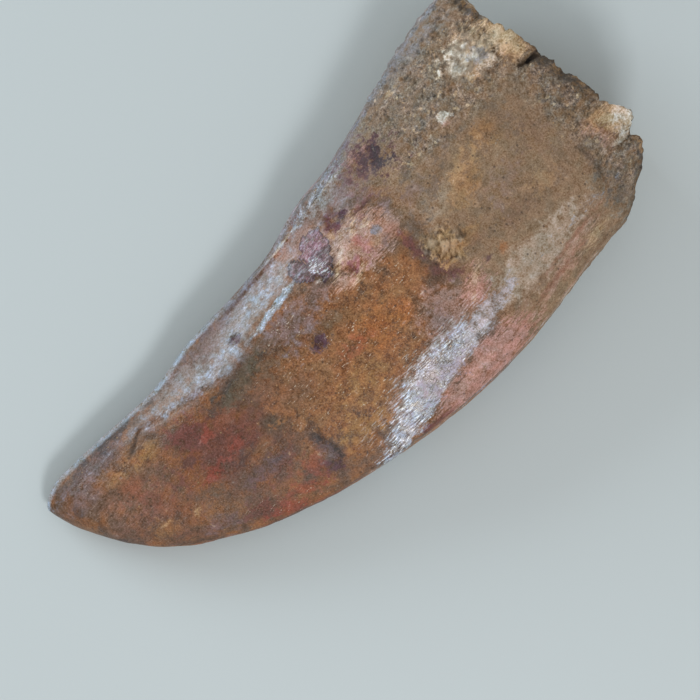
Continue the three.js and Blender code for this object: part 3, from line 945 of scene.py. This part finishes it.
    # painted highlight along the ridge beside the rear edge
    ("bone", 41.0, 11.7, 5.0, 0.22, 5, 0.9, 0.8, 0.6),
    ("bone", 49.0, 12.6, 5.0, 0.24, 9, 0.9, 0.8, 0.6),
    ("redBrown", 39.0, 11.9, 1.6, 0.3, 5, 0.8, 1.0, 0.8),
    # root
    ("sand", 60.5, -10.2, 10.0, 2.7, 4, 0.6, 0.9, 0.88),
    ("flesh", 62, -13.4, 9.0, 1.0, 14, 0.7, 1.2, 0.7),
    ("rust", 60, -13.6, 7.0, 0.45, 8, 0.8, 1.2, 0.6),
    ("cream", 67.3, -13.3, 2.6, 0.8, 14, 0.8, 1.3, 0.5),
    ("rust", 64, -11.8, 8, 0.35, 8, 0.8, 1.4, 0.5),
    ("sand", 57.5, 2.5, 5.0, 2.2, 0, 0.9, 1.3, 0.4),
    ("gold", 60.5, 1.5, 3.8, 2.2, 10, 0.9, 1.6, 0.55),
    ("gold", 66.5, 4.4, 3.2, 1.9, -20, 0.9, 1.6, 0.5),
    ("gold", 57.0, -2.6, 2.4, 1.4, 0, 0.9, 1.6, 0.5),
    ("mauveGrey", 55.8, 5.2, 2.4, 1.3, 0, 0.9, 1.6, 0.5),
    ("darkRoot", 57.4, 7.6, 3.4, 0.8, 25, 0.9, 2.2, 0.65),
    ("darkRoot", 62.8, 6.6, 3.2, 0.8, -10, 0.9, 2.2, 0.6),
    ("darkRoot", 69.0, 4.0, 1.6, 3.6, 0, 0.9, 2.2, 0.45),
    ("darkRoot", 58.0, 3.8, 4.0, 0.9, 30, 0.9, 3.0, 0.55),
    ("umber", 60.5, -4.6, 5.5, 1.2, -8, 0.9, 2.6, 0.45),
    ("mauveGrey", 64.0, -1.6, 3.5, 2.0, 20, 0.9, 2.2, 0.35),
    ("straw", 62.5, 3.6, 2.6, 1.2, 10, 0.9, 2.8, 0.4),
    ("umber", 70.5, -0.5, 2.4, 2.6, 0, 0.9, 2.6, 0.4),
    ("straw", 67.5, -4.5, 3.2, 1.6, -10, 0.9, 2.4, 0.35),
    ("rootGrey", 62, 12.5, 8.5, 4.6, 10, 0.6, 1.2, 0.7),
    ("darkRoot", 53.3, 1.8, 1.3, 2.4, 0, 0.8, 1.5, 0.6),
    ("redBrown", 67, 18.2, 8, 0.5, 8, 0.8, 1.0, 0.5),
    ("darkRoot", 76.6, 1.5, 2.4, 5.4, 0, 0.8, 1.8, 0.75),
    ("soot", 77.6, 1.0, 1.4, 4.2, 0, 0.8, 1.8, 0.75),
    ("soot", 75.2, 3.0, 2.0, 2.8, 0, 0.9, 2.4, 0.5),
    ("greenGrey", 73.8, -11.2, 4.0, 3.8, 30, 0.6, 1.3, 0.85),
    ("soot", 74.0, -9.8, 2.6, 1.8, 0, 0.9, 2.6, 0.55),
    ("soot", 72.4, -11.8, 1.6, 1.5, 0, 0.9, 2.6, 0.45),
    ("cream", 75.4, -11.4, 0.9, 0.6, 0, 0.8, 1.6, 0.6),
    ("darkRoot", 72.9, -7.4, 0.9, 3.8, 0, 0.9, 1.7, 0.55),
    ("stone", 77.0, -8.8, 1.8, 1.4, 0, 0.9, 1.5, 0.6),
    ("soot", 76.0, -11.0, 1.6, 1.0, 60, 0.9, 1.8, 0.5),
)

# stains over the crystals, the polished bands and the coarse crust, with painted highlights, sheen and shade
# marked as such, given in the same way
accentsAndPaintedLight = (
    ("redBrown", 54.6, 11.8, 4.4, 3.4, -20, 0.9, 1.8, 0.45),
    ("maroon", 54.9, 11.3, 4.2, 3.2, -20, 0.9, 1.8, 0.85),
    ("plum", 55.3, 11.0, 2.4, 2.0, 0, 0.8, 1.6, 0.85),
    ("soot", 56.2, 10.4, 1.6, 1.4, 0, 0.9, 2.0, 0.6),
    ("rose", 55.4, 12.7, 0.5, 0.25, 20, 0.8, 1.2, 0.6),
    ("bone", 64.5, 8.6, 0.9, 0.7, 0, 0.8, 1.8, 0.9),
    ("flesh", 64.0, 8.0, 0.8, 0.6, 0, 0.8, 1.8, 0.8),
    ("bone", 61.6, 8.2, 0.6, 0.4, 0, 0.8, 1.4, 0.6),
    ("cream", 61.8, 14.9, 0.6, 0.45, 0, 0.8, 1.2, 0.6),
    ("straw", 71.8, 11.4, 4.2, 2.8, -20, 0.6, 1.7, 0.85),
    ("cream", 73.8, 11.6, 2.6, 2.2, -20, 0.8, 1.3, 1.0),
    ("bone", 70.4, 12.2, 2.8, 1.9, 0, 0.8, 1.5, 0.95),
    ("bone", 72.8, 9.8, 2.0, 1.4, 0, 0.8, 1.5, 0.9),
    ("blueGrey", 72.4, 10.8, 1.8, 1.3, -10, 0.6, 1.3, 0.85),
    ("bone", 71.9, 11.2, 0.8, 0.6, 0, 0.8, 1.4, 0.8),
    ("cream", 75.8, 10.4, 2.3, 4.0, 12, 0.4, 1.0, 1.0),
    ("straw", 76.4, 9.0, 1.0, 2.4, 12, 0.8, 1.4, 0.3),
    ("straw", 75.2, 8.2, 1.4, 1.6, 0, 0.9, 1.4, 0.6),
    ("blueGrey", 75.6, 15.2, 1.0, 1.6, -30, 0.8, 1.0, 0.5),
    # painted shade in the slit of the rim
    ("soot", 76.1, 6.2, 1.2, 0.4, -8, 0.6, 0.7, 0.95),
    ("flesh", 76.9, -5.2, 2.9, 2.6, 0, 0.8, 1.0, 0.6),
    ("straw", 76.9, -4.2, 2.4, 1.6, -25, 0.8, 1.2, 0.85),
    ("cream", 78.4, -5.2, 2.2, 2.4, 0, 0.7, 1.0, 1.0),
    ("rust", 75.6, -3.4, 1.4, 0.8, -25, 0.9, 1.3, 0.25),
    ("bone", 79.3, -6.4, 1.8, 1.9, 30, 0.7, 1.2, 1.0),
    ("bone", 76.9, -7.6, 1.3, 0.6, 0, 0.6, 1.0, 0.8),
    # painted highlight strokes along the inner border of the front band, then painted pale sheen at its
    # upper end
    ("paintedHighlight", 39.0, -9.9, 5.5, 1.0, 10, 0.9, 3.4, 0.28),
    ("paintedHighlight", 46.0, -8.9, 4.5, 0.8, 2, 0.9, 3.4, 0.25),
    ("sheenHaze", 52.6, -10.6, 4.8, 1.8, 10, 0.9, 1.4, 0.75),
    ("sheenHaze", 43.0, -11.2, 3.6, 1.2, 5, 0.9, 2.0, 0.35),
    ("lilac", 43.4, -12.3, 4.0, 1.4, 5, 0.9, 3.0, 0.75),
    # painted blue-grey sheen at the low end of the front band
    ("blueGrey", 35.8, -13.8, 1.8, 0.7, 15, 0.9, 2.0, 0.6),
    ("rose", 53.4, 12.8, 1.3, 0.6, 0, 0.9, 1.8, 0.5),
    ("redBrown", 52.0, 9.9, 2.6, 1.2, 30, 0.9, 2.4, 0.5),
    ("maroon", 29.3, 7.7, 0.75, 0.55, 0, 0.8, 1.2, 0.7),
    ("rose", 46.0, 6.7, 1.6, 1.0, 30, 0.9, 1.4, 0.4),
    ("flesh", 53.0, -7.4, 1.8, 1.1, 30, 0.9, 1.2, 0.6),
    ("rose", 51.6, -13.2, 2.6, 0.9, 10, 0.9, 1.6, 0.5),
    ("soot", 55.0, 11.0, 2.8, 2.4, 0, 1.0, 2.6, 0.5),
    ("maroon", 37.4, -15.2, 1.2, 0.4, 10, 0.8, 1.4, 0.7),
    ("maroon", 35.2, -15.7, 0.8, 0.4, 0, 0.8, 1.4, 0.7),
)

streakyColours = ("flesh", "cream", "rose", "paintedHighlight")

# how the stains are laid, the gloss, and the heights of the finest relief in millimetres
finish = {
    "wideStain": 5.0,           # a stain of a larger length times width gets a looser border
    "stainDepth": 1e6,          # stains reach through the whole thickness
    "roughness": (0.32, 0.5),
    "rootRoughness": 0.2,       # added on the root
    "dirtRoughness": 0.3,       # added in the darkened hollows and seams and on the broken end
    "polishRoughness": 0.1,     # taken away on the polished bands
    "polishMetallic": 0.12,
    "crystalCoat": 0.3,
    "coatRoughness": 0.22,
    "refraction": 1.52,
    "specular": 0.42,
    "grainBump": 0.14,
    "sparkleBump": 0.11,
    "fibreBump": 0.03,
    "threadBump": 0.025,
}


def surfaceMaps(tree):
    # the places, masks and noises that the finish is made of
    maps = SimpleNamespace(stain=stainGroup(), weather=weatherGroup())
    for name in meshMasks:
        setattr(maps, name, addNode(tree, "Attribute", attribute_name=name).outputs["Fac"])

    # millimetres in the tooth's own drawing, from its tip
    coords = addNode(tree, "TexCoord").outputs["Object"]
    maps.place = addNode(tree, "Mapping", {"Vector": coords, "Location": tuple(-tipCorner / mm),
                                           "Scale": (1 / mm, 1 / mm, 1 / mm)}).outputs[0]

    # the lower side wears the same kinds of stain in another arrangement
    turnedOver = addNode(tree, "Mapping", {"Vector": maps.place, "Location": (1.5, 1.0, 0),
                                           "Scale": (0.97, -0.85, 1)}).outputs[0]
    moved = pushed(tree, turnedOver, 0.11, 2, 0.5, 14.0)
    sided = addNode(tree, "Mix", {0: maps.upper, 4: moved, 5: maps.place}, data_type="VECTOR").outputs[1]
    maps.loose = pushed(tree, sided, 0.33, 6, 0.62, 3.6)     # for the wide stains
    maps.tight = pushed(tree, sided, 1.1, 4, 0.6, 1.1)       # for the small ones
    maps.along, maps.aside = reach(tree, maps.loose, 1, 0), reach(tree, maps.loose, 0, 1)

    maps.mottle = noiseAt(tree, maps.place, 0.3, 5, 0.6)[0]
    maps.patchy = noiseAt(tree, maps.place, 1.0, 5, 0.66)[0]
    maps.grain = noiseAt(tree, maps.place, 5.0, 2, 0.65)[0]
    hue = noiseAt(tree, maps.place, 0.6, 2, 0.5)[1]
    maps.hue = addNode(tree, "SeparateColor", {"Color": hue}).outputs[0]
    maps.fibrePlace = strokesAt(tree, maps.place, 0.6, 0.45, -38, (0.9, 5.6, 1.0))
    maps.fibre = noiseAt(tree, maps.fibrePlace, 1.0, 4, 0.6)[0]
    maps.threadPlace = strokesAt(tree, maps.place, 0.8, 0.6, 4, (2.0, 6.5, 1.0))
    maps.thread = noiseAt(tree, maps.threadPlace, 1.0, 4, 0.6)[0]
    maps.bite = ramp(tree, maps.patchy, 0.3, 0.7, smooth=False)
    maps.streak = ramp(tree, maps.fibre, 0.3, 0.7, smooth=False)
    cells = addNode(tree, "TexVoronoi", {"Vector": pushed(tree, maps.place, 2.0, 2, 0.5, 0.5), "Scale": 3.0})
    parts = addNode(tree, "SeparateColor", {"Color": cells.outputs["Color"]}).outputs
    maps.rareCell, maps.cell = parts[0], parts[1]
    return maps


def stainMask(tree, maps, place, grain, station, across, halfLength, halfWidth, turn=0.0, softness=0.5,
              ragged=0.0, strength=1.0):
    return addNode(tree, "Group", {
        "Place": place, "Grain": grain, "Centre": (station, across, 0.0),
        "Size": (halfLength, halfWidth, finish["stainDepth"]), "Turn": math.radians(-turn),
        "Softness": softness, "Ragged": ragged, "Strength": strength}, node_tree=maps.stain).outputs["Mask"]


def lay(tree, maps, colour, spots):
    for name, *oval in spots:
        place = maps.loose if oval[2] * oval[3] > finish["wideStain"] else maps.tight
        grain = maps.streak if name in streakyColours else maps.bite
        colour = tint(tree, colour, colours[name], stainMask(tree, maps, place, grain, *oval))
    return colour


def weathered(tree, maps, colour, amount):
    return addNode(tree, "Group", {"Color": colour, "Mottle": maps.patchy, "Grain": maps.grain,
                                   "Cell": maps.cell, "Hue": maps.hue, "Amount": amount},
                   node_tree=maps.weather).outputs[0]


def crownAndRoot(tree, maps):
    # what lies under the stains
    crown = blend(tree, ramp(tree, maps.mottle, 0.38, 0.62), colours["umber"], colours["ochre"])
    root = blend(tree, ramp(tree, maps.mottle, 0.3, 0.6), colours["rootBrown"], colours["tan"])
    root = blend(tree, ramp(tree, maps.hue, 0.55, 0.75, 0.0, 0.6), root, colours["rootGrey"])
    return blend(tree, ramp(tree, maps.along, 50.0, 56.0), crown, root)


def crystalLump(tree, maps, colour):
    # every block has its own shade of plum, mauve or white, with painted shadow on the darker facets,
    # crossed by painted highlight lines
    crystal = shades(tree, maps.block, crystalTones)
    facets = noiseAt(tree, maps.place, 2.2, 3, 0.7)[0]
    shadow = ramp(tree, facets, 0.52, 0.4, 0.0, 0.85)
    crystal = blend(tree, shadow, crystal, (0.35, 0.35, 0.35, 1), "MULTIPLY")
    crystal = tint(tree, crystal, colours["mauve"], ramp(tree, facets, 0.56, 0.64, 0.0, 0.6))
    crystal = tint(tree, crystal, colours["plum"], ramp(tree, maps.thread, 0.5, 0.4, 0.0, 0.6))
    lines = highest(tree, ramp(tree, maps.thread, 0.55, 0.6), ramp(tree, maps.fibre, 0.55, 0.6))
    crystal = tint(tree, crystal, colours["paintedHighlight"], lines, ramp(tree, maps.block, 0.5, 0.9, 0.2, 0.85))
    return tint(tree, colour, crystal, ramp(tree, maps.block, 0.02, 0.15, 0.0, 0.92))


def polishedEnamel(tree, maps, colour):
    # painted sheen on the polished bands: grey sheen, painted shade in the dark wrinkles and painted
    # highlights on the white crests
    sheen = shades(tree, maps.patchy, paintedSheenTones)
    frayed = plus(tree, spread(tree, maps.patchy, 0.45), spread(tree, maps.fibre, 0.4))
    front = ramp(tree, plus(tree, maps.frontShine, frayed), -0.1, 0.6)
    rear = ramp(tree, plus(tree, maps.rearShine, frayed), -0.3, 1.3, 0.0, 0.8)
    # ridge: painted highlight along the rear ridge line; edge: painted sheen along the rear edge
    ridge = stainMask(tree, maps, maps.tight, maps.bite, 35.2, 7.1, 5.6, 0.55, 9, 0.6, 0.2)
    edge = stainMask(tree, maps, maps.tight, maps.bite, 48.0, 12.8, 9.5, 0.9, 10, 0.8, 0.7, 0.8)
    lowEnd = ramp(tree, maps.along, 42.0, 38.0)
    smoothEnd = ramp(tree, maps.along, 44.0, 52.0)
    maps.polish = highest(tree, front, rear, ridge, edge)
    # painted grey sheen over the bands, painted blue-white highlight on the ridge and on the front band
    colour = tint(tree, colour, sheen, maps.polish, 0.8)
    colour = tint(tree, colour, colours["highlightBlue"], ridge, 0.6)
    for end in (smoothEnd, lowEnd):
        colour = tint(tree, colour, colours["highlightBlue"], front, end, 0.2)

    strokes = addNode(tree, "Mix", {0: lowEnd, 2: maps.thread, 3: maps.fibre}).outputs[0]
    calm = ramp(tree, smoothEnd, 0.0, 1.0, 1.0, 0.3)
    troughs = times(tree, front, calm)
    crests = times(tree, front, highest(tree, lowEnd, ramp(tree, maps.frontShine, 1.2, 0.4, 0.3, 1.0)), calm)
    # painted shade in the wrinkles and painted highlights on their crests, band by band
    for low, high, wrinkle, dark, light in (
            (troughs, crests, strokes, 1.0, 0.8), (rear, rear, maps.thread, 0.7, 0.28),
            (ridge, ridge, maps.thread, 0.15, 0.6), (edge, edge, maps.thread, 0.4, 0.6)):
        colour = tint(tree, colour, colours["dusk"], low, ramp(tree, wrinkle, 0.47, 0.39, 0.0, dark))
        colour = tint(tree, colour, colours["paintedHighlight"], high, ramp(tree, wrinkle, 0.54, 0.62, 0.0, light))
    return colour


def rootCrustColour(tree, maps, colour):
    # coarse crust along the rear of the root and over its end
    rear = times(tree, ramp(tree, maps.aside, 4.5, 8.5), ramp(tree, maps.along, 54.0, 58.5),
                 ramp(tree, maps.aside, 17.5, 14.5))
    crust = highest(tree, rear, ramp(tree, maps.along, 70.5, 75.5))
    maps.crust = times(tree, crust, ramp(tree, maps.patchy, 0.36, 0.56))
    grains = shades(tree, noiseAt(tree, maps.place, 2.4, 4, 0.8)[0], crustTones)
    grains = tint(tree, grains, colours["cream"], ramp(tree, maps.rareCell, 0.955, 0.97, 0.0, 0.75))
    return tint(tree, colour, grains, maps.crust, 0.8)


def rearEdgeHighlight(tree, maps, colour):
    # painted highlight along the thin rear edge: pale on the crown, painted blue grey sheen further up
    colour = tint(tree, colour, colours["highlightBlue"], ramp(tree, maps.carina, 0.3, 0.75),
                  ramp(tree, maps.along, 34.0, 27.0, 0.0, 0.65))
    return tint(tree, colour, colours["blueGrey"], ramp(tree, maps.carina, 0.1, 0.7, 0.0, 0.6),
                ramp(tree, maps.along, 27.0, 36.0))


def weatherAndPaintedLight(tree, maps, colour):
    # weathered grain over everything, strongest on the ochre
    amount = times(tree, stainMask(tree, maps, maps.loose, 0.5, 38, -2, 14, 10), 0.3)
    amount = plus(tree, amount, ramp(tree, maps.along, 50.0, 58.0, 0.95, 0.72), times(tree, maps.crust, 0.3))
    colour = weathered(tree, maps, colour, amount)

    # dark and pale specks
    dots = addNode(tree, "TexVoronoi", {"Vector": maps.place, "Scale": 1.35})
    distance = dots.outputs["Distance"]
    parts = addNode(tree, "SeparateColor", {"Color": dots.outputs["Color"]}).outputs
    colour = tint(tree, colour, colours["umberDark"], ramp(tree, distance, 0.26, 0.12),
                  ramp(tree, parts[0], 0.6, 0.75), 0.6)
    colour = tint(tree, colour, colours["straw"], ramp(tree, distance, 0.2, 0.08),
                  ramp(tree, parts[1], 0.8, 0.9), 0.6)

    # glints: short bright strokes, many on the ochre and along the front edge of the tip
    tip = stainMask(tree, maps, maps.loose, 0.5, 20, -9.4, 10, 2.2, -24, strength=1.1)
    many = highest(tree, amount, tip)
    colour = tint(tree, colour, colours["bone"], ramp(tree, maps.fibre, 0.6, 0.67),
                  ramp(tree, maps.grain, 0.5, 0.6), ramp(tree, many, 0.95, 1.1, 0.15, 0.85),
                  ramp(tree, maps.along, 56.0, 48.0))

    # painted shade darkens the seams and hollows, painted highlight lightens the raised crests
    maps.dirt = highest(tree, ramp(tree, maps.recess, -0.15, -1.2, 0.0, 0.4), maps.seam)
    colour = blend(tree, times(tree, maps.dirt, 0.75), colour, (0.22, 0.22, 0.22, 1), "MULTIPLY")
    return tint(tree, colour, colours["bone"], ramp(tree, maps.recess, 0.1, 0.6, 0.0, 0.25))


def brokenRim(tree, maps, colour):
    # a dark ragged band along the rim, partly dark skin and partly painted shade, left out where the rim was
    # chipped pale
    bare = highest(tree, *(stainMask(tree, maps, maps.tight, 0.5, *oval)
                           for oval in ((77.8, -5.6, 3.2, 3.2), (75.5, 10.4, 3.0, 4.2))))
    rim = ramp(tree, plus(tree, maps.rim, spread(tree, maps.patchy, 0.3)), 0.62, 0.8)
    shade = blend(tree, ramp(tree, maps.mottle, 0.5, 0.6), colours["darkRoot"], colours["straw"])
    shade = tint(tree, shade, colours["soot"], ramp(tree, maps.grain, 0.52, 0.62))
    return tint(tree, colour, shade, rim, maps.upper, minus(tree, 1.0, bare), 0.6)


def brokenFace(tree, maps, colour):
    # dark skin at its rim, banded dentine, dark filling of the pulp hollow
    dentine = blend(tree, ramp(tree, maps.patchy, 0.35, 0.65), colours["rootGrey"], colours["sand"])
    dentine = tint(tree, dentine, colours["cream"], ramp(tree, maps.mottle, 0.5, 0.62))
    filling = blend(tree, ramp(tree, maps.patchy, 0.4, 0.7), colours["darkRoot"], colours["greenGrey"])
    ragged = plus(tree, maps.broken, spread(tree, maps.patchy, 0.06))
    face = weathered(tree, maps, blend(tree, ramp(tree, ragged, 0.36, 0.46), dentine, filling), 0.9)
    maps.inner = ramp(tree, ragged, 0.04, 0.1)
    return tint(tree, colour, face, maps.inner)


def roughness(tree, maps):
    # glossy on the polished bands, waxy on the enamel, dull on the root and in the hollows and seams
    rough = plus(tree, ramp(tree, maps.patchy, 0.35, 0.65, *finish["roughness"]),
                 ramp(tree, maps.along, 48.0, 60.0, 0.0, finish["rootRoughness"]))
    rough = minus(tree, rough, times(tree, maps.polish, finish["polishRoughness"]))
    return plus(tree, rough, times(tree, highest(tree, maps.dirt, maps.inner), finish["dirtRoughness"]))


def fineBumps(tree, maps):
    # relief too fine for the mesh: grain and sparkle, and wrinkles on the polished bands and beside the lump
    grain = times(tree, noiseAt(tree, maps.place, 1.5, 3, 0.6)[0], finish["grainBump"])
    sparkle = times(tree, noiseAt(tree, maps.place, 4.2, 2, 0.6)[0], finish["sparkleBump"])
    front = ramp(tree, maps.frontShine, -0.5, 0.4)
    rear = ramp(tree, maps.rearShine, -0.5, 0.4)
    calm = minus(tree, 1.0, times(tree, highest(tree, front, rear), 0.85))
    bumps = times(tree, plus(tree, grain, sparkle), calm)
    front = highest(tree, front, stainMask(tree, maps, maps.place, 0.5, 47, 5.5, 6, 4, strength=0.5))
    for place, mask, height in ((maps.fibrePlace, front, finish["fibreBump"]),
                                (maps.threadPlace, rear, finish["threadBump"])):
        bumps = plus(tree, bumps, times(tree, noiseAt(tree, place, 1.0, 2, 0.5)[0], height, mask))
    return addNode(tree, "Bump", {"Strength": 1.0, "Distance": mm, "Height": bumps}).outputs[0]


def toothMaterial():
    material = bpy.data.materials.new("fossilEnamel")
    material.use_nodes = True
    tree = material.node_tree
    tree.nodes.clear()
    maps = surfaceMaps(tree)

    colour = lay(tree, maps, crownAndRoot(tree, maps), stainsAndPaintedLight)
    for layer in (crystalLump, polishedEnamel, rootCrustColour):
        colour = layer(tree, maps, colour)
    colour = lay(tree, maps, colour, accentsAndPaintedLight)
    for layer in (rearEdgeHighlight, weatherAndPaintedLight, brokenRim, brokenFace):
        colour = layer(tree, maps, colour)
    print("tooth: colours in", len(stainsAndPaintedLight) + len(accentsAndPaintedLight), "stainsAndPaintedLight")

    shader = addNode(tree, "BsdfPrincipled", {
        "Base Color": colour, "Roughness": roughness(tree, maps),
        "Metallic": times(tree, maps.polish, finish["polishMetallic"]),
        "Coat Weight": times(tree, ramp(tree, maps.block, 0.7, 0.9), finish["crystalCoat"]),
        "Coat Roughness": finish["coatRoughness"], "Normal": fineBumps(tree, maps),
        "IOR": finish["refraction"], "Specular IOR Level": finish["specular"]})
    output = tree.nodes.new("ShaderNodeOutputMaterial")
    tree.links.new(shader.outputs[0], output.inputs["Surface"])
    print("tooth: material", len(tree.nodes), "nodes")
    return material


# camera straight above the tooth, turned so that the tip points down and left
cameraView = {
    "centre": (37.85, -2.49),   # middle of the picture, as station and across
    "width": 80.75,             # what the picture takes in, at the height of the edges
    "edgeHeight": 7.0,
    "distance": 900.0,
    "turn": -45.4,
    "sensor": 36.0,
}


def makeCamera():
    data = bpy.data.cameras.new("topCamera")
    data.sensor_width = cameraView["sensor"]
    data.lens = cameraView["sensor"] * cameraView["distance"] / cameraView["width"]
    camera = bpy.data.objects.new("topCamera", data)
    station, across = cameraView["centre"]
    height = cameraView["edgeHeight"] + cameraView["distance"]
    camera.location = tipCorner + Vector((station, across, height)) * mm
    camera.rotation_euler = (0, 0, math.radians(cameraView["turn"]))
    data.clip_start = 0.01
    data.clip_end = 10
    bpy.context.scene.collection.objects.link(camera)
    bpy.context.scene.camera = camera


# soft studio light: name, place in metres, size across, size up, power in watts, colour
studioLights = (
    ("rearLight", (-0.075, 0.387, 0.143), 0.26, 0.16, 0.9, (0.84, 0.94, 1.0)),
    ("frontLight", (-0.13, -0.255, 0.307), 0.12, 0.1, 0.6, (0.97, 0.98, 1.0)),
)


def makeLights():
    for name, place, width, tall, power, shade in studioLights:
        data = bpy.data.lights.new(name, "AREA")
        data.shape = "RECTANGLE"
        data.size = width
        data.size_y = tall
        data.energy = power
        data.color = shade
        light = bpy.data.objects.new(name, data)
        light.location = place
        light.rotation_euler = (-Vector(place)).to_track_quat("-Z", "Y").to_euler()
        light.visible_camera = False
        bpy.context.scene.collection.objects.link(light)
    world = bpy.data.worlds.new("studio")
    world.use_nodes = True
    background = world.node_tree.nodes["Background"]
    background.inputs["Color"].default_value = (1.0, 0.98, 0.96, 1)
    background.inputs["Strength"].default_value = 0.46
    bpy.context.scene.world = world
    bpy.context.scene.view_settings.view_transform = "Standard"


def makeFloor():
    bm = bmesh.new()
    bmesh.ops.create_grid(bm, x_segments=1, y_segments=1, size=1.5)
    bmesh.ops.translate(bm, verts=bm.verts, vec=(0, 0, -0.00005))
    mesh = bpy.data.meshes.new("floor")
    bm.to_mesh(mesh)
    bm.free()
    floor = bpy.data.objects.new("floor", mesh)
    bpy.context.scene.collection.objects.link(floor)
    material = bpy.data.materials.new("paleFloor")
    material.use_nodes = True
    shader = material.node_tree.nodes["Principled BSDF"]
    shader.inputs["Base Color"].default_value = tone(206, 216, 218)
    shader.inputs["Roughness"].default_value = 0.8
    mesh.materials.append(material)


makeCamera()
makeLights()
makeFloor()
print("studio: camera, lights and floor")

tooth = makeTooth()
tooth.data.materials.append(toothMaterial())
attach(tooth, "root")
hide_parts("tooth")
